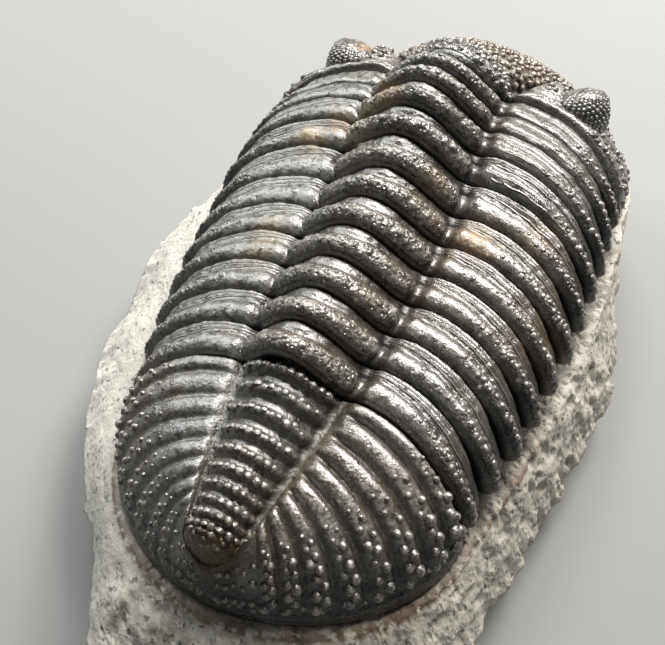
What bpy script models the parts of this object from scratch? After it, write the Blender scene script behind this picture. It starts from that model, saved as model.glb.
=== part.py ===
"""A large phacopid trilobite, lying belly down on the block of limestone that it was prepared from.

The fossil is a head shield with its eyes, eleven thoracic segments and a tail shield. Each is one
solid, shaped by one relief laid over a smooth vaulted body, and each stands on the block's mound.

Lengths are in millimetres until a mesh is made. In the body frame x points to the animal's right,
y to its head and z up, with z = 0 near the furrows that part the axis from the sides.
"""

import math

import bmesh
import bpy
import numpy as np

MM = 0.001
GAP = 0.3  # between neighbouring pieces

# Thorax
SEGMENTS = 11
PITCH = 5.58  # along the body, segments 4 to 11
FRONT_PITCH = 4.65  # segments 1 to 3, where the body bends down to the head
FIRST_CLOSE_SEGMENT = 4
LAST_RING_REAR = -26.4
SWEEP = 7.5  # how far a pleura's tip lies behind its inner end
RING_BOW = 0.8  # how far the middle of a ring lies behind its ends

# Body vault
AXIS_HALF = 10.5
AXIS_WIDEST = 5.0
AXIS_TAPER_REAR = 0.0021
AXIS_TAPER_FRONT = 0.0010
ARCH = 7.9  # the axis rises this far above its furrows
ARCH_POWER = 1.25
BODY_HALF = 32.3
BODY_WIDEST = 13.0
BODY_TAPER = 0.0034
FURROW_LEVEL = -0.4
NECK_RISE = 3.4
NECK_AT = 21.0
NECK_LENGTH = 9.0
TIP_LEVEL = -14.2
TIP_SLOPE = 0.075
SIDE_POWER = 2.2  # of the rounded shoulder where a side turns down

# Tail shield
TAIL_REAR = -56.2
TAIL_POWER = 1.88  # of its outline, where 2 is an ellipse
TAIL_AXIS_END = -49.5
TAIL_AXIS_TIP = -52.6
TAIL_AXIS_FRONT_HALF = 7.8
TAIL_AXIS_REAR_HALF = 4.2
TAIL_AXIS_ARCH = 0.72  # its height over its half-width
TAIL_REAR_LEVEL = -12.4
TAIL_RINGS = 10
TAIL_RIBS = 8
TAIL_RINGED = 0.9  # the share of the axis before its smooth end piece

# Head shield
HEAD_BEND = math.radians(38.0)
HEAD_BEND_LENGTH = 3.0
HEAD_AXIS_LENGTH = 30.0  # along the bent surface
HEAD_FRONT = 53.8
HEAD_FRONT_LEVEL = -27.0
HEAD_POWER = 2.1
OCCIPITAL_LENGTH = 4.7
GLABELLA_HALF = 16.6
GLABELLA_WIDEST = 22.0
GLABELLA_ARCH = 3.3
GLABELLA_POWER = 0.75
EYE_X = 20.1
EYE_ALONG = 8.2
EYE_TOP = 3.7
EYE_HALF_LENGTH = 6.4
EYE_HALF_WIDTH = 4.9

# Block of limestone
BASE_LEVEL = -35.0
FLOOR_THICKNESS = 3.0  # of the fossil over the mound, at the top
FLANK_THICKNESS = 4.0
BLOCK_CENTRE = -5.0
BLOCK_SHELF = 1.2  # how far the rock reaches out from under the fossil before it falls away
BLOCK_SPANS = 76
# The broken upper edge, anticlockwise seen from above, from the middle of the tail end.
BLOCK_EDGE = (
    (4, -73, -23),
    (19, -69, -25),
    (29, -57, -27),
    (31.6, -43, -28),
    (34, -30, -28),
    (36, -15, -28),
    (38, 1, -28),
    (34, 18, -28.5),
    (28, 36, -29),
    (13, 52, -30),
    (-6, 55, -30),
    (-24, 45, -28),
    (-37, 28, -24),
    (-43, 8, -22),
    (-45, -4, -22),
    (-42.5, -15, -22),
    (-42.5, -24, -22),
    (-35, -41, -22),
    (-23, -56, -22),
    (-15, -68, -22),
)

# Spans of each solid's grid
RING_SPANS = 8
SIDE_SPANS = 9
HEAD_SIDE_SPANS = 12
UNDER_SPANS = 12
UNDER_ROWS = 6  # under the head and under the tail

# Relief of a segment from front to rear: place, and height on the ring, inner side and outer side.
SEGMENT_ROWS = (
    (0.00, -1.7, -1.2, -1.0),
    (0.30, -1.0, 0.1, -0.4),
    (0.43, -1.3, -0.7, -0.9),
    (0.62, 1.0, 0.7, 0.6),
    (0.88, 0.9, 0.4, 0.5),
    (1.00, -1.4, -1.0, -0.8),
)

SHELL_COLOUR = (0.045, 0.038, 0.034)
TAIL_COLOUR = (0.030, 0.026, 0.024)
HEAD_COLOUR = (0.060, 0.050, 0.042)
STONE_COLOUR = (0.52, 0.49, 0.44)


def smooth(t):
    """0 to 1 with level ends, held outside."""
    t = np.clip(t, 0.0, 1.0)
    return t * t * (3.0 - 2.0 * t)


def mix(a, b, t):
    return a + (b - a) * t


def ring_rear(k):
    """Where ring k ends at its furrows; ring 0 is the head's own."""
    if k >= FIRST_CLOSE_SEGMENT:
        return LAST_RING_REAR + PITCH * (SEGMENTS - k)
    return ring_rear(FIRST_CLOSE_SEGMENT) + FRONT_PITCH * (FIRST_CLOSE_SEGMENT - k)


def axis_half(y):
    taper = np.where(y < AXIS_WIDEST, AXIS_TAPER_REAR, AXIS_TAPER_FRONT)
    return AXIS_HALF - taper * (y - AXIS_WIDEST) ** 2


def body_half(y):
    return BODY_HALF - BODY_TAPER * (y - BODY_WIDEST) ** 2


def furrow_level(y):
    return FURROW_LEVEL + NECK_RISE * np.exp(-(((y - NECK_AT) / NECK_LENGTH) ** 2))


def tip_level(y):
    return TIP_LEVEL + TIP_SLOPE * y


def shoulder(t):
    """Reach and fall, 0 to 1, of a side that runs level and then turns straight down."""
    angle = np.clip(t, 0.0, 1.0) * math.pi / 2
    return np.sin(angle) ** (2 / SIDE_POWER), 1 - np.cos(angle) ** (2 / SIDE_POWER)


def vault(t):
    """Height of the axis across it, 1 in the middle and 0 at its furrows."""
    return np.clip(1 - t * t, 0.0, 1.0) ** ARCH_POWER


def with_normals(points):
    """Unit normals of a grid of points, rows by columns, pointing up and out."""
    across = np.gradient(points, axis=1)
    along = np.gradient(points, axis=0)
    normal = np.cross(across, along)
    length = np.linalg.norm(normal, axis=2, keepdims=True)
    normal = normal / np.where(length < 1e-9, 1.0, length)
    return normal * np.where(normal[len(normal) // 2, normal.shape[1] // 2, 2] < 0, -1, 1)


def columns(side_spans):
    """Places across a piece, -1 to 1, and which part of the ring or of the side each is at."""
    ring = np.linspace(-1, 1, RING_SPANS + 1)
    side = np.linspace(0, 1, side_spans + 1)[1:]
    part = np.concatenate([-1 - side[::-1], ring, 1 + side])
    sign = np.sign(part)
    return np.clip(part, -1, 1), np.clip(np.abs(part) - 1, 0, 1), sign


def spread_above(ring, side, sign):
    """How far out each column of a top is, as a share of the width, to pair it with one below."""
    return ring / 3 + sign * shoulder(side)[0] * 2 / 3


def spread_below():
    angle = np.linspace(-1, 1, UNDER_SPANS + 1) * math.pi / 2
    return np.sign(angle) * np.abs(np.sin(angle)) ** (2 / SIDE_POWER)


def thorax_point(y, ring, side, sign):
    """The smooth body at y on the axis: ring runs -1 to 1 over it, and side 0 to 1 to the tip."""
    reach, fall = shoulder(side)
    half, wide = axis_half(y), body_half(y)
    level = furrow_level(y)
    x = half * ring + sign * (wide - half) * reach
    z = level + ARCH * vault(ring) - (level - tip_level(y)) * fall
    back = SWEEP * smooth(side) + np.where(side > 0, 0.0, RING_BOW * (1 - ring**6))
    return np.stack([x, y - back, z], axis=-1)


def under_point(y, u, inset, sweep=SWEEP):
    """The mound's surface, or a piece's underside, at u from -1 to 1 across the thorax."""
    angle = u * math.pi / 2
    wide = body_half(y) - FLANK_THICKNESS - inset
    low = tip_level(y) - inset
    high = furrow_level(y) - FLOOR_THICKNESS - inset
    x = wide * np.sign(angle) * np.abs(np.sin(angle)) ** (2 / SIDE_POWER)
    z = mix(low, high, np.cos(angle) ** (2 / SIDE_POWER))
    return np.stack([x, y - sweep * smooth(np.abs(u)) + 0 * x, z], axis=-1)


class Shell:
    """Vertices and faces of one closed solid, gathered part by part."""

    def __init__(self):
        self.points = []
        self.faces = []

    def add(self, points):
        start = len(self.points)
        shape = points.shape[:-1]
        self.points.extend(points.reshape(-1, 3).tolist())
        return np.arange(start, start + int(np.prod(shape))).reshape(shape)

    def skin(self, grid):
        """Quads over a grid of vertex numbers; a side that has shrunk to one point gives triangles."""
        for a, b in zip(grid[:-1], grid[1:]):
            for i in range(len(a) - 1):
                ring = list(dict.fromkeys([a[i], a[i + 1], b[i + 1], b[i]]))
                if len(ring) > 2:
                    self.faces.append(ring)

    def stitch(self, upper, lower, upper_at=None, lower_at=None):
        """Triangles between two runs of vertices, which may differ in number and in spacing."""
        upper_at = np.linspace(0, 1, len(upper)) if upper_at is None else upper_at
        lower_at = np.linspace(0, 1, len(lower)) if lower_at is None else lower_at
        i = j = 0
        while i < len(upper) - 1 or j < len(lower) - 1:
            next_upper = upper_at[i + 1] if i < len(upper) - 1 else math.inf
            next_lower = lower_at[j + 1] if j < len(lower) - 1 else math.inf
            if next_upper <= next_lower:
                self.faces.append([upper[i], upper[i + 1], lower[j]])
                i += 1
            else:
                self.faces.append([upper[i], lower[j + 1], lower[j]])
                j += 1

    def make(self, name, colour, roughness, shift):
        mesh = bpy.data.meshes.new(name)
        points = (np.array(self.points) + shift) * MM
        mesh.from_pydata(points.tolist(), [], [[int(i) for i in face] for face in self.faces])
        body = bmesh.new()
        body.from_mesh(mesh)
        bmesh.ops.remove_doubles(body, verts=body.verts, dist=1e-7)
        bmesh.ops.recalc_face_normals(body, faces=body.faces)
        bmesh.ops.triangulate(body, faces=body.faces)
        body.to_mesh(mesh)
        body.free()
        mesh.shade_smooth()
        mesh.set_sharp_from_angle(angle=math.radians(50))
        mesh.materials.append(finish(name + "_finish", colour, roughness))
        made = bpy.data.objects.new(name, mesh)
        bpy.context.scene.collection.objects.link(made)
        return made


def finish(name, colour, roughness):
    material = bpy.data.materials.new(name)
    material.use_nodes = True
    shader = material.node_tree.nodes["Principled BSDF"]
    shader.inputs["Base Color"].default_value = (*colour, 1.0)
    shader.inputs["Roughness"].default_value = roughness
    return material


def segment(k):
    """Thoracic segment k: a fat ring between two furrows, with a pleura on each side."""
    shell = Shell()
    ring, side, sign = columns(SIDE_SPANS)
    front, rear = ring_rear(k - 1) - GAP / 2, ring_rear(k) + GAP / 2
    fine = np.linspace(0, 1, 5)
    base = np.array([thorax_point(mix(front, rear, v), ring, side, sign) for v in fine])
    normal = with_normals(base)[2]
    furrow = np.exp(-(((np.abs(ring) + side * 2.0 - 1) / 0.12) ** 2))
    rows = []
    for v, on_ring, on_inner, on_outer in SEGMENT_ROWS:
        on_side = mix(on_inner, on_outer, smooth((side - 0.3) / 0.4))
        rise = np.where(side > 0, on_side, on_ring) - 0.9 * furrow
        rise = np.where(side >= 1, np.minimum(rise, 0.0), rise)
        rise_normal = normal * [1, 0, 1]
        rows.append(thorax_point(mix(front, rear, v), ring, side, sign) + rise[:, None] * rise_normal)
    top = shell.add(np.array(rows))
    u = np.linspace(-1, 1, UNDER_SPANS + 1)
    under = shell.add(np.array([under_point(front, u, 0.0), under_point(rear, u, 0.0)]))
    shell.skin(top)
    shell.skin(under)
    shell.stitch(top[0], under[0], spread_above(ring, side, sign), spread_below())
    shell.stitch(top[-1], under[-1], spread_above(ring, side, sign), spread_below())
    shell.stitch(top[:, 0], under[:, 0])
    shell.stitch(top[:, -1], under[:, -1])
    return shell


def tail_margin(t, inset=0.0, trim=0.0):
    """Right half of the tail's outline, from its front corner at 0 to the middle of the rear at 1."""
    angle = (t + 0.14 * math.sin(math.pi * t)) * math.pi / 2
    corner = LAST_RING_REAR - SWEEP - trim * (1 - t)
    x = (body_half(LAST_RING_REAR) - inset) * max(math.cos(angle), 0.0) ** (2 / TAIL_POWER)
    y = mix(corner, TAIL_REAR + inset, math.sin(angle) ** (2 / TAIL_POWER))
    return x, y, mix(tip_level(LAST_RING_REAR), TAIL_REAR_LEVEL, smooth(t * 1.3))


def tail_axis(t, trim=0.0):
    """Half-width, place and level of the tail's axis at t along it."""
    along = min(t / TAIL_RINGED, 1.0)
    closing = max(t - TAIL_RINGED, 0.0) / (1 - TAIL_RINGED)
    half = mix(TAIL_AXIS_FRONT_HALF, TAIL_AXIS_REAR_HALF, along) * math.sqrt(1 - closing**2)
    half += (axis_half(LAST_RING_REAR) - TAIL_AXIS_FRONT_HALF) * (1 - smooth(t / 0.06))
    y = mix(LAST_RING_REAR - trim, TAIL_AXIS_END, along) + (TAIL_AXIS_TIP - TAIL_AXIS_END) * closing
    return half, y, FURROW_LEVEL - 1.2 * along**3 - 1.8 * closing**2


def tail_row(t, index, normal):
    """One row of the tail, out from its axis along its ribs, with its relief where asked."""
    ring, side, sign = columns(SIDE_SPANS)
    half, y, level = tail_axis(t, GAP / 2)
    edge_x, edge_y, edge_z = tail_margin(t, 0.0, GAP / 2)
    reach, fall = shoulder(side)
    x = half * ring + sign * (edge_x - half) * reach
    back = mix(smooth(side), side**1.15, smooth(t / 0.3)) * (y - edge_y)
    back = back + RING_BOW * (1 - t) * (1 - np.abs(ring) ** 6)
    high = TAIL_AXIS_ARCH * half * np.where(side > 0, 0.0, vault(ring))
    points = np.stack([x, y - back, level - (level - edge_z) * fall + high], axis=-1)
    if normal is None:
        return points
    crest = index % 2
    on_axis = t < TAIL_RINGED + 0.01
    on_rib = index < 2 * TAIL_RIBS + 1
    on_ring = mix(0.9, 0.4, t) * (1 if crest else -1) * on_axis * vault(ring) ** 0.3
    on_side = 0.85 * (1 if crest else -1) * on_rib * smooth(side / 0.3) * (1 - smooth((side - 0.8) / 0.2))
    bead = 0.3 * crest * (-1.0) ** np.arange(len(side))
    bead = bead * np.where(side > 0, on_rib * smooth((side - 0.3) / 0.2), on_axis * vault(ring))
    rise = np.where(side > 0, on_side, on_ring) + bead
    if index == 0:
        rise = np.where(side > 0, -0.9, -1.4)
    furrow = 0.9 * np.exp(-(((np.abs(ring) + side * 2.0 - 1) / 0.12) ** 2)) * (1 - t)
    points = points + ((rise - furrow) * (side < 1))[:, None] * normal * [1, smooth(t / 0.1), 1]
    if t > 0.999:
        points[:, 0] = 0.0
    return points


def tail_under(t, inset, trim):
    """One row of the tail's underside, or of the mound below it."""
    u = np.linspace(-1, 1, UNDER_SPANS + 1)
    angle = u * math.pi / 2
    half, y, level = tail_axis(t * TAIL_RINGED, trim)
    edge_x, edge_y, edge_z = tail_margin(t, FLANK_THICKNESS + inset, trim)
    x = edge_x * np.sign(angle) * np.abs(np.sin(angle)) ** (2 / SIDE_POWER)
    z = mix(edge_z, level - FLOOR_THICKNESS, np.cos(angle) ** (2 / SIDE_POWER)) - inset
    y = mix(y, TAIL_REAR + FLANK_THICKNESS + 3.0, t**3)
    return np.stack([x, y - (y - edge_y) * smooth(np.abs(u)), z], axis=-1)


def under_steps():
    return np.linspace(0, 1, UNDER_ROWS + 1)


def tail():
    """Tail shield: a ringed axis, and ribs that run out and back from it to a smooth border."""
    shell = Shell()
    ringed = np.linspace(0, TAIL_RINGED, 2 * TAIL_RINGS + 1)
    closing = TAIL_RINGED + (1 - TAIL_RINGED) * np.array([0.4, 0.7, 0.9, 1.0])
    steps = np.concatenate([ringed, closing])
    normals = with_normals(np.array([tail_row(t, 0, None) for t in steps]))
    top = shell.add(np.array([tail_row(t, i, n) for i, (t, n) in enumerate(zip(steps, normals))]))
    under = shell.add(np.array([tail_under(t, 0.0, GAP / 2) for t in under_steps()]))
    shell.skin(top)
    shell.skin(under)
    shell.stitch(top[0], under[0], spread_above(*columns(SIDE_SPANS)), spread_below())
    shell.stitch(top[:, 0], under[:, 0], steps, under_steps())
    shell.stitch(top[:, -1], under[:, -1], steps, under_steps())
    return shell


def head_margin(t, inset=0.0, trim=0.0):
    """Right half of the head's outline, from its rear corner at 0 to the middle of the front at 1."""
    angle = t * math.pi / 2
    corner = ring_rear(0) - SWEEP + trim * (1 - t)
    x = (body_half(ring_rear(0)) - inset) * max(math.cos(angle), 0.0) ** (2 / HEAD_POWER)
    y = mix(corner, HEAD_FRONT - inset, math.sin(angle) ** (2 / HEAD_POWER))
    return x, y, mix(tip_level(ring_rear(0)), HEAD_FRONT_LEVEL, 1 - (1 - t) ** 1.5)


def head_path(along, trim=0.0):
    """Place, level and slope of the head's furrow line, at a distance along the bend."""
    steps = np.linspace(0, along, 13)
    slope = HEAD_BEND * smooth(steps / HEAD_BEND_LENGTH)
    run = np.cos(slope).mean() * along
    fall = np.sin(slope).mean() * along
    return ring_rear(0) + trim + run, furrow_level(ring_rear(0)) - fall, slope[-1]


def glabella_half(along):
    """Half-width of the swollen middle of the head, which is widest near the front."""
    wide = smooth((along - OCCIPITAL_LENGTH) / (GLABELLA_WIDEST - OCCIPITAL_LENGTH))
    closing = np.clip((along - GLABELLA_WIDEST) / (HEAD_AXIS_LENGTH - GLABELLA_WIDEST), 0, 1)
    return mix(axis_half(ring_rear(0)), GLABELLA_HALF, wide) * math.sqrt(1 - closing**2)


def eye_height(x, along, level):
    """Height that the eye adds to the cheek: a turret with a curved top that leans inward."""
    reach = np.hypot((np.abs(x) - EYE_X) / EYE_HALF_WIDTH, (along - EYE_ALONG) / EYE_HALF_LENGTH)
    top = EYE_TOP - 0.10 * (np.abs(x) - EYE_X) ** 2 / 4 - 0.35 * np.clip(EYE_X - np.abs(x), 0, None)
    return np.clip(top - level, 0, None) * smooth((1.18 - reach) / 0.36)


def head_columns():
    ring, side, sign = columns(HEAD_SIDE_SPANS)
    return ring, side**1.25, sign


def head_row(t, index, normal):
    """One row of the head, out from the glabella to both margins, with its relief where asked."""
    ring, side, sign = head_columns()
    along = t * HEAD_AXIS_LENGTH
    half = glabella_half(along)
    y, level, slope = head_path(along, GAP / 2)
    edge_x, edge_y, edge_z = head_margin(t, 0.0, GAP / 2)
    reach, fall = shoulder(side)
    x = half * ring + sign * (edge_x - half) * reach
    closing = np.clip((along - GLABELLA_WIDEST) / (HEAD_AXIS_LENGTH - GLABELLA_WIDEST), 0, 1)
    arch = mix(ARCH, GLABELLA_ARCH, smooth(along / 6)) * math.sqrt(1 - closing**2)
    power = mix(1.0, GLABELLA_POWER, smooth(along / 8))
    high = arch * np.where(side > 0, 0.0, vault(ring) ** power)
    across = (edge_y - y) * smooth(side)
    bow = np.where(side > 0, 0.0, RING_BOW * (1 - smooth(along / 4)) * (1 - ring**6))
    points = np.stack([x, y + across - bow + high * math.sin(slope),
                       level - (level - edge_z) * fall + high * math.cos(slope)], axis=-1)
    if normal is None:
        return points
    beyond = along - OCCIPITAL_LENGTH
    tube = 1.0 - 2.4 * np.abs(along / OCCIPITAL_LENGTH * 2 - 1) ** 4
    lobe = -1.2 * np.exp(-((beyond / 0.9) ** 2)) - 0.7 * np.exp(-(((beyond - 2.6) / 0.8) ** 2))
    bead = 0.35 * (-1.0) ** (np.arange(len(side)) + index) * smooth((beyond - 3) / 2)
    on_ring = tube if beyond <= 0 else lobe + (0.2 + bead) * vault(ring) ** 0.3
    border = 0.7 - 1.7 * abs(min(along / 3.6, 1) * 2 - 1) ** 3 if along < 3.6 else 0.0
    border = border - 0.9 * math.exp(-(((along - 3.9) / 1.0) ** 2))
    rim = 0.5 * np.exp(-(((side - 0.9) / 0.08) ** 2)) - 0.5 * np.exp(-(((side - 0.75) / 0.07) ** 2))
    on_side = border * (1 - smooth((side - 0.75) / 0.2)) + rim * smooth((along - 2) / 3) * (1 - t**4)
    furrow = 1.0 * np.exp(-(((np.abs(ring) + side * 2.0 - 1) / 0.15) ** 2)) * (t < 0.99)
    rise = (np.where(side > 0, on_side, on_ring) * (t < 0.99) - furrow) * (side < 0.999)
    points = points + rise[:, None] * normal * [1, smooth(along / 3), 1]
    local = points - [0, ring_rear(0), furrow_level(ring_rear(0))]
    down, up = math.sin(HEAD_BEND), math.cos(HEAD_BEND)
    lifted = eye_height(x, local[:, 1] * up - local[:, 2] * down, local[:, 1] * down + local[:, 2] * up)
    points = points + np.where(side > 0, lifted, 0.0)[:, None] * [0, down, up]
    if t > 0.999:
        points[:, 0] = 0.0
    return points


def head_under(t, inset, trim):
    """One row of the head's underside, or of the mound below it."""
    u = np.linspace(-1, 1, UNDER_SPANS + 1)
    angle = u * math.pi / 2
    y, level, slope = head_path(t * (HEAD_AXIS_LENGTH - 8), trim)
    edge_x, edge_y, edge_z = head_margin(t, FLANK_THICKNESS + inset, trim)
    x = edge_x * np.sign(angle) * np.abs(np.sin(angle)) ** (2 / SIDE_POWER)
    floor = FLOOR_THICKNESS + inset
    z = mix(edge_z - inset, level - floor * math.cos(slope), np.cos(angle) ** (2 / SIDE_POWER))
    y = y - floor * math.sin(slope)
    return np.stack([x, y + (edge_y - y) * smooth(np.abs(u)), z], axis=-1)


def head():
    """Head shield: the last ring of the neck, the swollen glabella, and cheeks that carry the eyes."""
    shell = Shell()
    steps = np.array([0, 0.9, 2.2, 3.6, 4.7, 5.9, 7.2])
    steps = np.concatenate([steps, np.linspace(8.4, GLABELLA_WIDEST, 11), [23.4, 24.7, 25.9, 27, 28, 29, 30]])
    steps = steps / HEAD_AXIS_LENGTH
    normals = with_normals(np.array([head_row(t, 0, None) for t in steps]))
    top = shell.add(np.array([head_row(t, i, n) for i, (t, n) in enumerate(zip(steps, normals))]))
    under = shell.add(np.array([head_under(t, 0.0, GAP / 2) for t in under_steps()]))
    shell.skin(top)
    shell.skin(under)
    shell.stitch(top[0], under[0], spread_above(*head_columns()), spread_below())
    shell.stitch(top[:, 0], under[:, 0], steps, under_steps())
    shell.stitch(top[:, -1], under[:, -1], steps, under_steps())
    return shell


def with_shelf(row, margin):
    """A row of the mound carried out on both sides to a shelf just beyond the fossil's margin."""
    x, y, z = margin
    out = np.array([x, y, z - 2 * GAP])
    return np.concatenate([[out * [-1, 1, 1]], row, [out]])


def turn_of(points):
    """Angle of each point about the block's centre, from the middle of the tail end."""
    return np.arctan2(points[:, 0], BLOCK_CENTRE - points[:, 1]) % (2 * math.pi)


def block_edge(turns):
    """The broken edge at each angle, from a closed curve through its corners."""
    corners = np.array(BLOCK_EDGE, dtype=float)
    count = len(corners)
    places = np.arange(0, count, 0.1)
    i = places.astype(int)
    f = (places - i)[:, None]
    a, b, c, d = (corners[(i + shift) % count] for shift in (-1, 0, 1, 2))
    curve = b + 0.5 * f * (c - a + f * (2 * a - 5 * b + 4 * c - d + f * (3 * (b - c) + d - a)))
    at = turn_of(curve)
    order = np.argsort(at)
    at, curve = at[order], curve[order]
    found = np.stack([np.interp(turns, at, curve[:, axis], period=2 * math.pi) for axis in range(3)], axis=1)
    jagged = 0.6 * np.sin(turns * 23) + 0.5 * np.sin(turns * 37 + 1) + 0.3 * np.sin(turns * 61 + 2)
    return found + jagged[:, None] * [0.5, 0.5, 0.9]


def block():
    """The limestone: a mound under the fossil, a shelf around it, and broken sides to a flat base."""
    shell = Shell()
    out = -BLOCK_SHELF
    rows = [with_shelf(head_under(t, GAP, 0.0), head_margin(t, out)) for t in under_steps()[:0:-1]]
    u = np.linspace(-1, 1, UNDER_SPANS + 1)
    for y in map(ring_rear, range(SEGMENTS + 1)):
        tip = body_half(y) - out, y - SWEEP, tip_level(y)
        rows.append(with_shelf(under_point(y, u, GAP), tip))
    rows += [with_shelf(tail_under(t, GAP, 0.0), tail_margin(t, out)) for t in under_steps()[1:]]
    rows = np.array(rows)
    mound = shell.add(rows)
    shell.skin(mound)
    foot = np.concatenate([mound[::-1, -1], mound[:, 0]])
    foot_points = np.concatenate([rows[::-1, -1], rows[:, 0]])
    foot_turns = turn_of(foot_points)
    foot_turns[0], foot_turns[-1] = 0.0, 2 * math.pi
    turns = np.linspace(0, 2 * math.pi, BLOCK_SPANS + 1)
    near = np.stack([np.interp(turns, foot_turns, foot_points[:, axis]) for axis in range(3)], axis=1)
    away = np.stack([np.sin(turns), -np.cos(turns), 0 * turns], axis=1)
    edge = block_edge(turns)
    edge[-1] = edge[0]
    slope = mix(near, edge, 0.5) + [0, 0, 0.8] + 0.5 * np.sin(turns * 31)[:, None] * [0, 0, 1]
    slope[-1] = slope[0]
    foot_edge = edge * [0.92, 0.96, 0] + [0, 0, BASE_LEVEL] + 0.8 * np.sin(turns * 19)[:, None] * away
    foot_edge[-1] = foot_edge[0]
    wall = mix(edge, foot_edge, 0.45) + 0.9 * np.sin(turns * 29 + 1)[:, None] * away
    wall[-1] = wall[0]
    loops = shell.add(np.array([slope, edge, wall, foot_edge]))
    shell.stitch(foot, loops[0], foot_turns, turns)
    shell.skin(loops)
    middle = shell.add(np.array([[[0.0, BLOCK_CENTRE, BASE_LEVEL]] * len(turns)]))
    shell.skin(np.array([loops[-1], middle[0]]))
    return shell


def main():
    for obj in list(bpy.data.objects):
        bpy.data.objects.remove(obj, do_unlink=True)
    pieces = [("matrix", block(), STONE_COLOUR, 0.85), ("cephalon", head(), HEAD_COLOUR, 0.4)]
    for k in range(1, SEGMENTS + 1):
        pieces.append((f"thoracic_segment_{k:02d}", segment(k), SHELL_COLOUR, 0.35))
    pieces.append(("pygidium", tail(), TAIL_COLOUR, 0.3))
    every = np.concatenate([np.array(shell.points) for _, shell, _, _ in pieces])
    low, high = every.min(axis=0), every.max(axis=0)
    shift = np.array([-(low[0] + high[0]) / 2, -(low[1] + high[1]) / 2, -low[2]])
    for name, shell, colour, roughness in pieces:
        shell.make(name, colour, roughness, shift)


main()
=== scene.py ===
"""Looks of a large phacopid trilobite lying on the limestone block that it was prepared from.

The body is worked out in millimetres in its own frame (x to the animal's right, y to its head, z up)
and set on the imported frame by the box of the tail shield. Fine shells replace the plain solids, and
Geometry Nodes grow the tubercles, the eye lenses and the chisel marks on them.
"""

import sys  # noqa: E702

import logging
import math
from dataclasses import dataclass, field
from enum import Enum
from typing import Sequence

import bmesh
import bpy
import numpy as np
from mathutils import Matrix, Vector


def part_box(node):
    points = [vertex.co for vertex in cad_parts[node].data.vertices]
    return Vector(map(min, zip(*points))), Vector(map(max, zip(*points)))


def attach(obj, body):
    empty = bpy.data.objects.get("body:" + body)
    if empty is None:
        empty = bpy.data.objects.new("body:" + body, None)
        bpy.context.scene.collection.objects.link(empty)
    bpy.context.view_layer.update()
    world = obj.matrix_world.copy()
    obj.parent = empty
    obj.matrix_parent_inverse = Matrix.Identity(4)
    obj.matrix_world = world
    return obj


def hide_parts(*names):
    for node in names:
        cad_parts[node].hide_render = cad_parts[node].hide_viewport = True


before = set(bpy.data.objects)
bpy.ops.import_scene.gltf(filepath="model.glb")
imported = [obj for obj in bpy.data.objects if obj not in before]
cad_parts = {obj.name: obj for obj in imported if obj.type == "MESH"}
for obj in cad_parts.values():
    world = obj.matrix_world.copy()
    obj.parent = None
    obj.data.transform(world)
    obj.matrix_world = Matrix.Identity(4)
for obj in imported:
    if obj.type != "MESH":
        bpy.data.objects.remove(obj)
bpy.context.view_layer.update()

Array = np.ndarray
MM = 0.001
METRE = 1000.0  # in millimetres, the unit of every pattern
LOG = logging.getLogger("trilobite")


def smooth(t: Array | float) -> Array:
    """Return 0 to 1 with level ends, held outside."""
    t = np.clip(t, 0.0, 1.0)
    return t * t * (3.0 - 2.0 * t)


def mix(a: Array | float, b: Array | float, t: Array | float) -> Array | float:
    """Return a at t = 0 and b at t = 1."""
    return a + (b - a) * t


def bell(x: Array | float, width: float) -> Array:
    """Return a smooth bump of height 1 around x = 0."""
    return np.exp(-((np.asarray(x) / width) ** 2))


def curve_through(knots: Sequence[tuple[float, ...]], steps: Array) -> Array:
    """Smooth curve through evenly numbered knots.

    Args:
        knots: rows of equal length, one for each knot.
        steps: places along the curve, 0 at the first knot and 1 at the last.

    Returns:
        One row of values for each step.
    """
    p = np.array(knots, dtype=float)
    p = np.concatenate([[2 * p[0] - p[1]], p, [2 * p[-1] - p[-2]]])
    at = np.clip(np.asarray(steps), 0, 1) * (len(knots) - 1)
    i = np.minimum(at.astype(int), len(knots) - 2)
    f = (at - i)[:, None]
    a, b, c, d = p[i], p[i + 1], p[i + 2], p[i + 3]
    return b + 0.5 * f * (c - a + f * (2 * a - 5 * b + 4 * c - d + f * (3 * (b - c) + d - a)))


def lumpy(points: Array, size: float, seed: int) -> Array:
    """Smooth irregular field over space, about -1 to 1.

    Args:
        points: places, with the coordinates in the last axis.
        size: rough distance between neighbouring lumps, in the points' unit.
        seed: number of the pattern.

    Returns:
        One value for each point.
    """
    draw = np.random.default_rng(seed)
    total = np.zeros(points.shape[:-1])
    for _ in range(7):
        way = draw.normal(size=3)
        way *= 2 * math.pi / size / np.linalg.norm(way) * draw.uniform(0.6, 1.5)
        total += np.sin(points @ way + draw.uniform(0, 2 * math.pi))
    return total / 3.2


class Side(Enum):
    """The two sides of the animal, by the sign of x."""

    LEFT = -1
    RIGHT = 1


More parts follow.
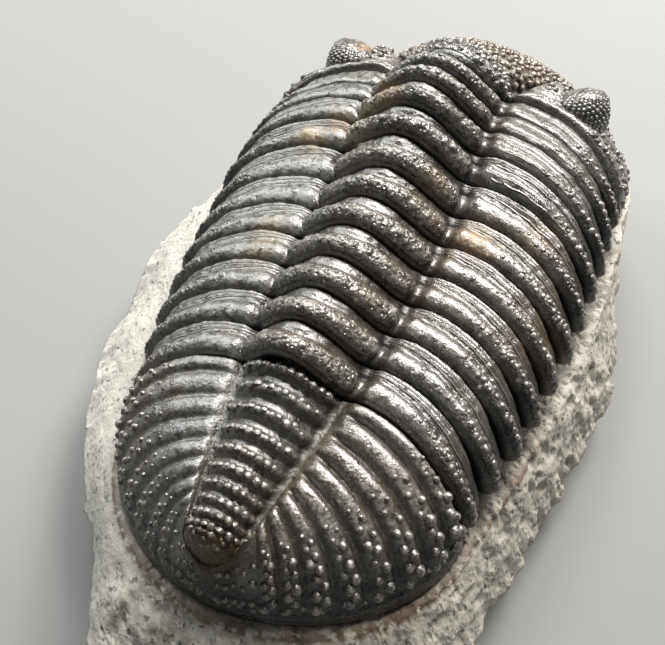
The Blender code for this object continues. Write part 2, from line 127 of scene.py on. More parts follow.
@dataclass(frozen=True)
class BodyPlan:
    """Driving sizes of the whole animal, in millimetres in its own frame."""

    segments: int = 11
    pitch: float = 5.58
    front_pitch: float = 4.65
    first_close_segment: int = 4
    last_ring_rear: float = -26.4
    sweep: float = 7.5
    ring_bow: float = 0.8
    axis_half: float = 10.5
    axis_widest: float = 5.0
    axis_taper_rear: float = 0.0021
    axis_taper_front: float = 0.0010
    arch: float = 7.9
    arch_power: float = 1.25
    body_half: float = 32.3
    body_widest: float = 13.0
    body_taper: float = 0.0034
    furrow_level: float = -0.4
    neck_rise: float = 3.4
    neck_at: float = 21.0
    neck_length: float = 9.0
    tip_level: float = -14.2
    tip_slope: float = 0.075
    side_power: float = 2.2
    base_level: float = -35.0
    tail_rear: float = -56.2

    def ring_rear(self, number: int) -> float:
        """Return where ring `number` ends at its furrows; ring 0 is the head's own.

        Args:
            number: the ring, counted from the head.

        Returns:
            Its y.
        """
        if number >= self.first_close_segment:
            return self.last_ring_rear + self.pitch * (self.segments - number)
        start = self.ring_rear(self.first_close_segment)
        return start + self.front_pitch * (self.first_close_segment - number)

    def half_axis(self, y: Array | float) -> Array:
        """Return the half-width of the axis at y."""
        taper = np.where(y < self.axis_widest, self.axis_taper_rear, self.axis_taper_front)
        return self.axis_half - taper * (y - self.axis_widest) ** 2

    def half_body(self, y: Array | float) -> Array:
        """Return the half-width of the body, tip to middle, at y on the axis."""
        return self.body_half - self.body_taper * (y - self.body_widest) ** 2

    def furrow(self, y: Array | float) -> Array:
        """Return the level of the furrows beside the axis at y."""
        return self.furrow_level + self.neck_rise * bell(y - self.neck_at, self.neck_length)

    def tip(self, y: Array | float) -> Array:
        """Return the level of the side's tip at y on the axis."""
        return self.tip_level + self.tip_slope * y

    def shoulder(self, side: Array | float) -> tuple[Array, Array]:
        """Return reach and fall, 0 to 1, of a side that runs level and then turns straight down."""
        angle = np.clip(side, 0.0, 1.0) * math.pi / 2
        return np.sin(angle) ** (2 / self.side_power), 1 - np.cos(angle) ** (2 / self.side_power)

    def vault(self, ring: Array) -> Array:
        """Return the height of the axis across it, 1 in the middle and 0 at its furrows."""
        return np.clip(1 - ring * ring, 0.0, 1.0) ** self.arch_power


@dataclass(frozen=True)
class Across:
    """Columns of a shell, from the left margin over the axis to the right margin."""

    ring: Array
    side: Array
    sign: Array

    @classmethod
    def spread(cls, ring_spans: int, side_spans: int, power: float = 1.0) -> "Across":
        """Lay out the columns.

        Args:
            ring_spans: spans over the axis.
            side_spans: spans over each side.
            power: above 1 it draws a side's columns together towards the axis.

        Returns:
            The places of the columns.
        """
        ring = np.linspace(-1, 1, ring_spans + 1)
        side = np.linspace(0, 1, side_spans + 1)[1:]
        part = np.concatenate([-1 - side[::-1], ring, 1 + side])
        return cls(np.clip(part, -1, 1), np.clip(np.abs(part) - 1, 0, 1) ** power, np.sign(part))

    @property
    def place(self) -> Array:
        """Return 0 in the middle of the axis, 1 at its furrow and 2 at the margin."""
        return np.where(self.side > 0, 1 + self.side, np.abs(self.ring))

    @property
    def on_side(self) -> Array:
        """Return which columns lie on the sides."""
        return self.side > 0


def normals_of(points: Array) -> Array:
    """Return unit normals of a grid of points, rows by columns, pointing up and out.

    Args:
        points: rows by columns by coordinates.

    Returns:
        Unit vectors in the same layout.
    """
    normal = np.cross(np.gradient(points, axis=1), np.gradient(points, axis=0))
    length = np.linalg.norm(normal, axis=2, keepdims=True)
    normal = normal / np.where(length < 1e-9, 1.0, length)
    middle = normal[len(normal) // 2, normal.shape[1] // 2]
    return normal * (-1.0 if middle[2] < 0 else 1.0)


@dataclass(frozen=True)
class Placement:
    """Where the body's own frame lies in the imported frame."""

    plan: BodyPlan

    @property
    def shift(self) -> Array:
        """Return the body frame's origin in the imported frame, in millimetres.

        Returns:
            Its x, y and z.
        """
        low, high = (np.array(corner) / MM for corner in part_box("pygidium"))
        floor = np.array(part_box("matrix")[0])[2] / MM
        middle = (low[0] + high[0]) / 2
        return np.array([middle, low[1] - self.plan.tail_rear, floor - self.plan.base_level])

    def metres(self, points: Array) -> Array:
        """Return body-frame millimetres as packed-frame metres."""
        return (points + self.shift) * MM


@dataclass
class Shell:
    """A mesh in the making: points in millimetres, faces, and one value per point for each mark."""

    points: list[Array] = field(default_factory=list)
    faces: list[list[int]] = field(default_factory=list)
    marks: dict[str, list[Array]] = field(default_factory=dict)
    count: int = 0

    def add(self, points: Array, **marks: Array) -> Array:
        """Add points with their marks and return their numbers, in the same layout.

        Args:
            points: places, with the coordinates in the last axis.
            marks: for each mark by name, one value per point or one for all.

        Returns:
            The numbers of the new points.
        """
        shape = points.shape[:-1]
        numbers = np.arange(self.count, self.count + int(np.prod(shape))).reshape(shape)
        for name in sorted(set(self.marks) | set(marks)):
            held = self.marks.setdefault(name, [np.zeros(self.count)] if self.count else [])
            held.append(np.broadcast_to(marks.get(name, 0.0), shape).reshape(-1))
        self.points.append(points.reshape(-1, 3))
        self.count += numbers.size
        return numbers

    def skin(self, numbers: Array) -> None:
        """Add quads over a grid of point numbers."""
        a, b, c, d = numbers[:-1, :-1], numbers[:-1, 1:], numbers[1:, 1:], numbers[1:, :-1]
        self.faces.extend(np.stack([a, b, c, d], axis=-1).reshape(-1, 4).tolist())

    def fan(self, loop: Array, centre: Array, **marks: float) -> None:
        """Close a loop of point numbers onto one middle point."""
        middle = int(self.add(np.array([centre], dtype=float), **marks)[0])
        self.faces.extend([[int(a), int(b), middle] for a, b in zip(loop, np.roll(loop, -1)) if a != b])

    def make(self, name: str, placement: Placement) -> bpy.types.Object:
        """Make the mesh object, welded and with its faces pointing out.

        Args:
            name: the object's name.
            placement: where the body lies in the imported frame.

        Returns:
            The object, in metres, at the origin.
        """
        mesh = bpy.data.meshes.new(name)
        mesh.from_pydata(placement.metres(np.concatenate(self.points)).tolist(), [], self.faces)
        for mark, values in self.marks.items():
            layer = mesh.attributes.new(mark, "FLOAT", "POINT")
            layer.data.foreach_set("value", np.concatenate(values).astype(np.float32))
        body = bmesh.new()
        body.from_mesh(mesh)
        bmesh.ops.remove_doubles(body, verts=body.verts, dist=2e-6)
        bmesh.ops.recalc_face_normals(body, faces=body.faces)
        body.to_mesh(mesh)
        body.free()
        mesh.shade_smooth()
        made = bpy.data.objects.new(name, mesh)
        bpy.context.scene.collection.objects.link(made)
        return made


@dataclass(frozen=True)
class Stain:
    """A patch of colour left by iron or by leftover rock, at a place on the body."""

    at: tuple[float, float, float]
    reach: float
    strength: float


OCHRE_STAINS = (
    Stain((14.6, 3.4, 0.5), 3.0, 1.0),
    Stain((10.9, 2.0, 4.0), 1.9, 1.0),
    Stain((8.3, 6.6, 6.0), 2.4, 0.7),
    Stain((7.7, -6.6, 8.0), 2.2, 0.8),
    Stain((7.9, -16.4, 7.0), 2.4, 0.8),
    Stain((-16.7, 12.5, 1.8), 2.3, 1.0),
    Stain((-12.6, 16.4, 2.6), 1.8, 1.0),
    Stain((-6.4, 20.8, 6.2), 2.4, 0.9),
    Stain((-5.0, 17.4, 9.2), 1.7, 0.9),
    Stain((-3.0, 17.3, 10.7), 1.5, 0.7),
    Stain((-15.0, -5.2, 0.5), 2.8, 0.55),
    Stain((-14.6, -9.1, 0.5), 2.4, 0.45),
    Stain((21.5, 8.0, -4.0), 3.2, 0.6),
    Stain((27.0, -6.0, -9.0), 3.5, 0.4),
    Stain((-27.0, -34.0, -10.0), 4.5, 0.7),
    Stain((1.0, -51.5, -1.0), 3.0, 0.45),
)
PALE_STAINS = (
    Stain((-7.6, 12.6, 5.2), 1.9, 1.0),
    Stain((-9.7, 12.9, 3.6), 1.4, 0.9),
    Stain((-7.9, 17.1, 6.1), 1.5, 0.9),
    Stain((-9.5, 16.6, 4.0), 1.4, 0.8),
    Stain((-17.0, 13.0, 1.4), 1.5, 0.8),
)


def stained(points: Array, stains: Sequence[Stain]) -> Array:
    """Return how strongly each point is stained, 0 to 1.

    Args:
        points: places, with the coordinates in the last axis.
        stains: the patches.

    Returns:
        The strongest patch's value at each point.
    """
    total = np.zeros(points.shape[:-1])
    for stain in stains:
        away = np.linalg.norm(points - np.array(stain.at), axis=-1) / stain.reach
        total = np.maximum(total, stain.strength * np.exp(-(away**2)))
    return total


@dataclass(frozen=True)
class Dots:
    """Places for tubercles or lenses: points, the way each faces, and its size."""

    points: Array
    facing: Array
    sizes: Array

    @classmethod
    def on_grid(cls, grid: Array, rows: Array, columns: Array, sizes: Array) -> "Dots":
        """Take places from a grid of surface points by their row and column numbers.

        Args:
            grid: surface points, rows by columns.
            rows: row of each place, rounded here.
            columns: column of each place, rounded here.
            sizes: size of each place's bead.

        Returns:
            The places.
        """
        rows, columns = np.round(rows).astype(int), np.round(columns).astype(int)
        rows = np.clip(rows, 1, grid.shape[0] - 2)
        columns = np.clip(columns, 1, grid.shape[1] - 2)
        return cls(grid[rows, columns], normals_of(grid)[rows, columns], np.asarray(sizes))

    @classmethod
    def joined(cls, several: Sequence["Dots"]) -> "Dots":
        """Return all the places of several sets as one."""
        return cls(*(np.concatenate([getattr(d, n) for d in several]) for n in ("points", "facing", "sizes")))

    def make(self, name: str, placement: Placement) -> bpy.types.Object:
        """Make an object of loose points that carry their facing and size.

        Args:
            name: the object's name.
            placement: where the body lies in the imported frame.

        Returns:
            The object, with the marks facing and bead_size.
        """
        mesh = bpy.data.meshes.new(name)
        mesh.from_pydata(placement.metres(self.points).tolist(), [], [])
        facing = mesh.attributes.new("facing", "FLOAT_VECTOR", "POINT")
        facing.data.foreach_set("vector", self.facing.astype(np.float32).ravel())
        size = mesh.attributes.new("bead_size", "FLOAT", "POINT")
        size.data.foreach_set("value", self.sizes.astype(np.float32))
        made = bpy.data.objects.new(name, mesh)
        bpy.context.scene.collection.objects.link(made)
        return made


@dataclass
class ThoracicSegment:
    """One segment of the trunk: a fat ring over the axis and a band that curves down on each side.

    Each station gives the section from front to rear as (place along the segment, height), at one
    place across: 0 in the middle of the ring, 1 at its furrow and 2 at the tip of the side.
    """

    plan: BodyPlan
    number: int
    ring_columns: int = 104
    side_columns: int = 118
    rows: int = 54
    furrow_depth: float = 1.1
    collar_rise: float = 0.22
    worn_lines: float = 6.0
    front_lines: float = 2.7
    residue_rise: float = 0.9

    STATIONS = (
        (0.00, ((0.10, -2.9), (0.04, -1.9), (0.05, -1.10), (0.10, -0.62), (0.18, -0.38), (0.27, -0.30),
                (0.35, -0.34), (0.43, -0.25), (0.54, 0.55), (0.67, 1.02), (0.81, 0.98), (0.94, 0.38),
                (1.02, -0.7), (1.00, -1.8), (0.90, -2.9))),
        (0.85, ((0.10, -2.9), (0.03, -1.9), (0.04, -1.20), (0.07, -0.95), (0.11, -0.80), (0.16, -0.75),
                (0.22, -0.60), (0.32, -0.05), (0.46, 0.65), (0.63, 0.95), (0.80, 0.88), (0.94, 0.28),
                (1.02, -0.8), (1.00, -1.8), (0.90, -2.9))),
        (1.10, ((0.10, -2.9), (0.015, -1.8), (0.02, -0.80), (0.045, -0.32), (0.11, -0.20), (0.20, -0.18),
                (0.29, -0.26), (0.38, -0.22), (0.48, 0.22), (0.62, 0.50), (0.78, 0.45), (0.93, 0.02),
                (1.0, -0.7), (0.985, -1.8), (0.90, -2.9))),
        (1.42, ((0.10, -2.9), (0.02, -1.8), (0.025, -0.85), (0.055, -0.34), (0.14, -0.20), (0.25, -0.06),
                (0.37, -0.24), (0.46, -0.26), (0.55, 0.16), (0.66, 0.44), (0.79, 0.36), (0.92, -0.10),
                (0.985, -0.85), (0.97, -1.9), (0.90, -2.9))),
        (1.72, ((0.14, -2.9), (0.07, -2.1), (0.07, -1.35), (0.12, -0.90), (0.21, -0.72), (0.32, -0.72),
                (0.41, -0.72), (0.48, -0.30), (0.57, 0.25), (0.67, 0.46), (0.77, 0.34), (0.87, -0.20),
                (0.93, -1.2), (0.92, -2.1), (0.86, -2.9))),
        (2.00, ((0.18, -2.9), (0.13, -2.2), (0.14, -1.50), (0.20, -0.95), (0.30, -0.62), (0.38, -0.52),
                (0.46, -0.40), (0.53, -0.12), (0.60, 0.08), (0.68, 0.12), (0.76, -0.05), (0.82, -0.45),
                (0.86, -1.2), (0.86, -2.1), (0.82, -2.9))),
    )

    def section(self, across: Across) -> tuple[Array, Array]:
        """Return the place along the segment and the height, rows by columns.

        Args:
            across: the columns of the shell.

        Returns:
            The places, 0 at the segment's front and 1 at its rear, and the heights in mm.
        """
        steps = np.linspace(0, 1, self.rows)
        curves = np.array([curve_through(knots, steps) for _, knots in self.STATIONS])
        places = np.array([place for place, _ in self.STATIONS])
        at = np.interp(across.place, places, np.arange(len(places)))
        i = np.minimum(at.astype(int), len(places) - 2)
        share = smooth(at - i)[:, None, None]
        found = mix(curves[i], curves[i + 1], share)
        return found[:, :, 0].T, found[:, :, 1].T

    def base(self, y: Array, across: Across) -> Array:
        """Return the smooth body under the relief, at places y on the axis (rows by columns).

        Args:
            y: places on the axis.
            across: the columns of the shell.

        Returns:
            The grid of points.
        """
        plan = self.plan
        reach, fall = plan.shoulder(across.side)
        half, wide, level = plan.half_axis(y), plan.half_body(y), plan.furrow(y)
        x = half * across.ring + across.sign * (wide - half) * reach
        z = level + plan.arch * plan.vault(across.ring) - (level - plan.tip(y)) * fall
        bow = np.where(across.on_side, 0.0, plan.ring_bow * (1 - across.ring**6))
        return np.stack([x, y - plan.sweep * smooth(across.side) - bow, z], axis=-1)

    def kept_relief(self, across: Across) -> Array:
        """Return the share of its relief that each column keeps: the left side and the front are worn.

        Args:
            across: the columns of the shell.

        Returns:
            One share for each column.
        """
        left = mix(0.62, 0.85, smooth((self.number - 6) / 3))
        right = mix(0.62, 1.00, smooth((self.number - 3.5) / 2.5))
        return mix(1.0, np.where(across.sign < 0, left, right), smooth(across.side / 0.08))

    def surface(self) -> tuple[Array, Array, Array, Across]:
        """Return the grid of points, the heights, the places along the segment, and the columns.

        Returns:
            Four values, the first three rows by columns.
        """
        plan, across = self.plan, Across.spread(self.ring_columns, self.side_columns)
        along, height = self.section(across)
        side, kept = across.side, self.kept_relief(across)
        height = np.where(height > -1.0, (height + 0.1) * kept - 0.1, height + 0.9 * (1 - kept))
        arc = side * 28.0 - (1 - np.abs(across.ring)) * plan.half_axis(0.0)
        tube = smooth((along - 0.25) / 0.15)
        height = height - self.furrow_depth * bell(arc, 0.75) * mix(0.5, 1.0, tube)
        height = height + self.collar_rise * bell(arc - 1.5, 0.5) * tube * np.where(across.sign < 0, 0.3, 1.0)
        tip = np.sqrt(np.clip(1 - (np.clip(side - 0.90, 0, 1) / 0.10) ** 2, 0, 1))
        along, height = 0.52 + (along - 0.52) * tip, -1.0 + (height + 1.0) * tip
        front, rear = plan.ring_rear(self.number - 1), plan.ring_rear(self.number)
        points = self.base(mix(front, rear, along), across)
        wave = lumpy(points, 7.0, 11) * 0.10 + lumpy(points, 2.4, 12) * 0.06 + lumpy(points, 1.1, 13) * 0.03
        height = height + wave * tip + self.residue_rise * stained(points, PALE_STAINS)
        middle = self.base(mix(front, rear, np.array([[0.0], [0.5], [1.0]])) + 0 * side, across)
        normal = normals_of(middle)[1] * [1, 0, 1]
        return points + height[..., None] * normal, height, along, across

    def lines(self, along: Array, across: Across) -> tuple[Array, Array]:
        """Return which fine line each point is near, and where they show: all over where it is worn.

        Args:
            along: places along the segment.
            across: the columns of the shell.

        Returns:
            A number that is whole at each line, and the lines' strength, 0 to 1.
        """
        side, wear_and_crest_highlight = across.side, (self.kept_relief(across) < 0.7) & (across.sign > 0)
        fan = (along - 0.05) / mix(0.20, np.where(across.sign < 0, 0.50, 0.42), np.clip(side / 0.35, 0, 1))
        inner = smooth(side / 0.02) * (1 - smooth((side - 0.50) / 0.25))
        front = (1 - smooth((fan - 0.9) / 0.15)) * (along > 0.03)
        whole = smooth((along - 0.05) / 0.05) * (1 - smooth((along - 0.85) / 0.1))
        number = np.where(wear_and_crest_highlight, along * self.worn_lines, np.clip(fan, 0, 1) * self.front_lines)
        return number, inner * np.where(wear_and_crest_highlight, 0.45 * whole, front)

    def build(self, placement: Placement) -> bpy.types.Object:
        """Make the segment's closed mesh, with the marks that its finish reads.

        Args:
            placement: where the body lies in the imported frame.

        Returns:
            The segment's shell.
        """
        points, height, along, across = self.surface()
        shell = Shell()
        line, leaf = self.lines(along, across)
        # partly wear, partly painted sheen: lighter grey-green over the worn left side, and painted sheen on
        # the front right pleurae where the broad highlight falls
        dull = np.where(across.sign < 0, mix(0.9, 0.5, smooth((self.number - 6) / 4)),
                        0.5 * (1 - self.kept_relief(across))) * smooth(across.side / 0.05)
        crest = smooth((height + 0.2) / 0.6)
        spread = mix(np.where(across.on_side, 0.10, 1.0), 1.0, smooth((across.side - 0.34) / 0.2))
        # dark mark: painted shade on the outer part of each side, where the pleurae turn away from the lights
        numbers = shell.add(points, height=np.clip((height + 1.7) / 2.7, 0, 1), grain=crest * spread,
                            line=line, leaf=leaf, dull=dull, dark=0.75 * smooth((across.side - 0.50) / 0.3),
                            ochre=stained(points, OCHRE_STAINS), pale=stained(points, PALE_STAINS))
        shell.skin(np.concatenate([numbers, numbers[:1]]))
        return shell.make(f"segment_{self.number:02d}_shell", placement)

    def tubercles(self) -> Dots:
        """Return the places of the coarse tubercles on the outer part of both sides.

        Returns:
            Two uneven rows of places on each side.
        """
        points, _, _, across = self.surface()
        draw = np.random.default_rng(100 + self.number)
        rows, columns, sizes = [], [], []
        for side in Side:
            largest = 0.75 if side is Side.LEFT else 1.2
            for i, place in enumerate(np.arange(0.30, 0.95, 0.024)):
                place += draw.uniform(-0.012, 0.012)
                rows.append(self.rows * (0.53 if i % 2 else 0.65) + draw.uniform(-2.2, 2.2))
                half = (len(across.side) - 1) / 2
                start = self.ring_columns / 2
                columns.append(half + side.value * (start + place * self.side_columns))
                sizes.append(draw.uniform(0.5, 1.0) * largest * mix(0.6, 1.0, smooth((place - 0.30) / 0.25)))
        return Dots.on_grid(points, np.array(rows), np.array(columns), np.array(sizes))


@dataclass
class TailShield:
    """The tail: a tapering ringed axis, and ribs that run out and back from it to a smooth border."""

    plan: BodyPlan
    rings: int = 10
    ribs: int = 8
    rows_per_ring: int = 12
    closing_rows: int = 24
    ring_columns: int = 84
    side_columns: int = 124
    first_ring: float = -28.8
    ring_step: float = 3.5
    ring_shortening: float = 0.125
    axis_tip: float = -53.0
    axis_front_half: float = 7.87
    axis_taper: float = 0.16
    axis_arch: float = 0.74
    outline_power: float = 1.88
    rear_level: float = -12.4
    ringed_share: float = 0.9

    RING_SECTION = (-0.85, -0.55, -0.50, -0.30, 0.12, 0.38, 0.44, 0.30, -0.05, -0.58, -0.85)
    RIB_SECTION = (-0.85, -0.42, 0.12, 0.36, 0.46, 0.50, 0.49, 0.42, 0.24, -0.24, -0.85)

    def steps(self) -> Array:
        """Return the rows as ring counts: 0 at the front, `rings` at the end piece.

        Returns:
            The rows, closer together on the end piece.
        """
        ringed = np.linspace(0, self.rings, self.rings * self.rows_per_ring + 1)
        closing = self.rings + np.sin(np.linspace(0, math.pi / 2, self.closing_rows + 1))[1:]
        return np.concatenate([ringed, closing])

    def axis(self, step: Array) -> tuple[Array, Array, Array]:
        """Return half-width, place and level of the axis at a ring count.

        Args:
            step: ring counts.

        Returns:
            Three values for each ring count.
        """
        plan = self.plan
        rest = np.clip(step - 1, 0, self.rings - 1)
        y = np.where(step < 1, mix(plan.last_ring_rear, self.first_ring, np.clip(step, 0, 1)),
                     self.first_ring - self.ring_step * rest + self.ring_shortening * rest**2)
        closing = np.clip(step - self.rings, 0, 1)
        last = self.rings - 1
        end = self.first_ring - self.ring_step * last + self.ring_shortening * last**2
        half = self.axis_front_half + self.axis_taper * (y - plan.last_ring_rear)
        y = y + (self.axis_tip - end) * closing
        along = (y - plan.last_ring_rear) / (self.axis_tip - plan.last_ring_rear)
        half = half * np.sqrt(np.clip(1 - closing**2, 0, 1))
        return half, y, plan.furrow_level - 1.2 * along**3 - 1.4 * closing**2

    def outline(self, step: Array) -> tuple[Array, Array, Array]:
        """Return the right half of the outline at a ring count: x, y and level.

        Args:
            step: ring counts.

        Returns:
            Three values for each ring count.
        """
        plan = self.plan
        t = np.where(step < self.rings, step / self.rings * self.ringed_share,
                     mix(self.ringed_share, 1.0, step - self.rings))
        angle = (t + 0.14 * np.sin(math.pi * t)) * math.pi / 2
        x = plan.half_body(plan.last_ring_rear) * np.clip(np.cos(angle), 0, 1) ** (2 / self.outline_power)
        corner = plan.last_ring_rear - plan.sweep
        y = mix(corner, plan.tail_rear, np.sin(angle) ** (2 / self.outline_power))
        return x, y, mix(plan.tip(plan.last_ring_rear), self.rear_level, smooth(t * 1.3))

    def surface(self) -> tuple[Array, Array, Array, Across]:
        """Return the grid of points, the heights, the ring counts of its rows, and its columns.

        Returns:
            Four values, the first two rows by columns.
        """
        plan, across = self.plan, Across.spread(self.ring_columns, self.side_columns, 1.12)
        steps = self.steps()
        step = steps[:, None]
        ring, side = across.ring, across.side
        half, y, level = self.axis(step)
        edge_x, edge_y, edge_z = self.outline(step)
        reach, fall = plan.shoulder(side)
        closing = np.clip(step - self.rings, 0, 1)
        x = half * ring + across.sign * (edge_x - half) * reach
        back = mix(smooth(side), side**1.15, smooth(step / 3.0)) * (y - edge_y)
        back = back + plan.ring_bow * (1 - step / (self.rings + 1)) * (1 - np.abs(ring) ** 6)
        vault = np.where(across.on_side, 0.0, plan.vault(ring) ** 0.9)
        high = self.axis_arch * half * vault * (1 - closing**2)
        base = np.stack([x, y - back + 0 * x, level - (level - edge_z) * fall + high], axis=-1)
        phase = step % 1.0
        ringed = 1 - smooth((step - self.rings + 0.05) / 0.1)
        ribbed = 1 - smooth((step - self.ribs + 0.3) / 0.6)
        fade = mix(1.0, 0.50, step / self.rings) * (1 - 0.5 * smooth((step - self.rings + 1) / 1.0))
        on_ring = curve_through([(v,) for v in self.RING_SECTION], phase[:, 0]) * ringed * fade
        on_ring = on_ring * plan.vault(ring) ** 0.25
        rib = curve_through([(v,) for v in self.RIB_SECTION], phase[:, 0]) * ribbed
        rib = rib * smooth(side / 0.10) * (1 - smooth((side - 0.80) / 0.16)) * mix(1.0, 0.8, step / 8)
        rib = rib * np.where(across.sign < 0, 0.6, 1.0)
        height = np.where(across.on_side, rib, on_ring)
        arc = side * 26.0 - (1 - np.abs(ring)) * half
        height = height - 0.85 * bell(arc, 0.8) * (1 - smooth((step - self.rings + 1.5) / 1.8))
        height = height - 0.35 * bell(side - 0.90, 0.025) + 0.12 * bell(side - 0.96, 0.03)
        height = height - 1.1 * bell(step, 0.14)
        height = height + lumpy(base, 6.0, 21) * 0.08 + lumpy(base, 1.9, 22) * 0.04
        height = height * (1 - smooth((side - 0.985) / 0.015))
        height = height * (1 - closing**8)
        points = base + height[..., None] * normals_of(base) * np.array([1, 0, 1])
        points[-1, :, 0] = 0.0
        return points, height, steps, across

    def build(self, placement: Placement) -> bpy.types.Object:
        """Make the tail's closed mesh, with the marks that its finish reads.

        Args:
            placement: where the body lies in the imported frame.

        Returns:
            The tail's shell.
        """
        points, height, steps, across = self.surface()
        shell = Shell()
        step = steps[:, None] + 0 * across.side
        border = smooth((across.side - 0.72) / 0.12) * (across.side < 0.97)
        end_piece = smooth((step - self.rings) / 0.3) * ~across.on_side
        groove = bell(across.place - 1.01, 0.03) * (step < self.rings)
        phase_line = bell(np.minimum(step % 1, 1 - step % 1), 0.09) * (step < self.rings) * (step > 0.5)
        pale = np.clip(0.13 * groove + 0.10 * phase_line * (across.side < 0.75), 0, 1)
        # painted shade: the outer border and the rear end are darkened
        dark = np.clip(0.85 * smooth((across.side - 0.58) / 0.25) + smooth((step - 8.3) / 1.5), 0, 1)
        # wear and painted sheen: lighter grey over the left side
        dull = 0.45 * (across.sign < 0) * smooth(across.side / 0.05) * (1 - dark)
        numbers = shell.add(points, height=np.clip((height + 1.4) / 2.1, 0, 1),
                            pale=pale, dark=dark, dull=dull,
                            grain=np.clip(0.25 * border + 0.35 * end_piece + 0.15, 0, 1),
                            ochre=stained(points, OCHRE_STAINS))
        shell.skin(numbers)
        loop = np.concatenate([numbers[0], numbers[1:, -1], numbers[-2:0:-1, 0]])
        edge = np.concatenate([points[0], points[1:, -1], points[-2:0:-1, 0]])
        self.close(shell, loop, edge)
        return shell.make("tail_shell", placement)

    @staticmethod
    def close(shell: Shell, loop: Array, edge: Array, towards: tuple[float, float] = (0.0, -36.0)) -> None:
        """Roll a margin in under the shell and close the shell over a middle point.

        Args:
            shell: the mesh in the making.
            loop: point numbers of the margin, in order.
            edge: the margin's points.
            towards: x and y of the middle.
        """
        centre = np.array([*towards, 0.0])
        inward = centre - edge * [1, 1, 0]
        inward /= np.linalg.norm(inward, axis=1, keepdims=True)
        previous = loop
        for step_in, drop in ((0.35, 0.30), (0.95, 0.35), (2.2, 0.2), (4.0, -0.6)):
            ring = shell.add(edge + step_in * inward - [0, 0, drop], height=np.zeros(len(edge)))
            shell.skin(np.stack([np.append(previous, previous[0]), np.append(ring, ring[0])]))
            previous = ring
        shell.fan(previous, [*towards, float(edge[:, 2].mean()) + 4.0], height=0.0)

    def placed(self, spots: Sequence[tuple[float, float, float]], seed: int) -> Dots:
        """Turn ring counts, columns from the middle and sizes into places, each a little off its line.

        Args:
            spots: ring count, column from the middle and size of each place.
            seed: number of the pattern of small shifts.

        Returns:
            The places.
        """
        points, _, _, across = self.surface()
        draw = np.random.default_rng(seed)
        step, column, size = np.array(spots).T
        steps = self.steps()
        rows = np.interp(step, steps, np.arange(len(steps))) + draw.uniform(-0.6, 0.6, len(step))
        columns = (len(across.side) - 1) / 2 + column + draw.uniform(-0.9, 0.9, len(step))
        return Dots.on_grid(points, rows, columns, size * draw.uniform(0.75, 1.15, len(step)))

    def knobs(self) -> Dots:
        """Return the places of the low knobs across the rings and on the end piece.

        Returns:
            The places, in a zigzag across each ring.
        """
        spots, start = [], self.ring_columns / 2
        for ring in range(self.rings):
            half = float(self.axis(np.array([ring + 0.5]))[0][0])
            count = max(int(half * 2.4 / 1.12), 6)
            for i in range(count):
                where = (i + 0.5) / count * 2 - 1
                if abs(where) < 0.90:
                    size = mix(1.25, 0.95, ring / self.rings)
                    spots.append((ring + (0.42 if i % 2 else 0.60), where * start, size))
        for i, where in enumerate((-0.6, -0.2, 0.2, 0.6, -0.4, 0.0, 0.4, -0.55, 0.5, -0.1, 0.15)):
            spots.append((self.rings + 0.05 + 0.05 * i, where * start, 0.7))
        return self.placed(spots, 7)

    def tubercles(self) -> Dots:
        """Return the places of the tubercles in two rows along each rib and behind the last rib.

        Returns:
            The places, larger towards the margin.
        """
        spots, start = [], self.ring_columns / 2
        for side in Side:
            first, share = (0.34, 0.75) if side is Side.LEFT else (0.36, 1.0)

            def put(step: float, place: float, size: float) -> None:
                """Note one tubercle at a ring count and a place out along the side."""
                column = start + place ** (1 / 1.12) * self.side_columns
                spots.append((step, side.value * column, size))

            for rib in range(self.ribs):
                for i, place in enumerate(np.arange(first, 0.90, 0.052)):
                    size = share * mix(0.8, 1.6, smooth((place - first) / 0.3)) * mix(1.0, 0.88, rib / 8)
                    put(rib + (0.36 if i % 2 else 0.66), place, size)
            for i, step in enumerate(np.arange(self.ribs + 0.2, self.rings + 0.7, 0.55)):
                for place in (0.48 + 0.06 * (i % 2), 0.66 + 0.05 * (i % 2), 0.84):
                    put(step, place, 1.05)
            for i, step in enumerate(np.arange(0.5, self.rings + 0.6, 0.70)):
                put(step, 0.87 + 0.03 * (i % 2), 0.85)
        return self.placed(spots, 8)


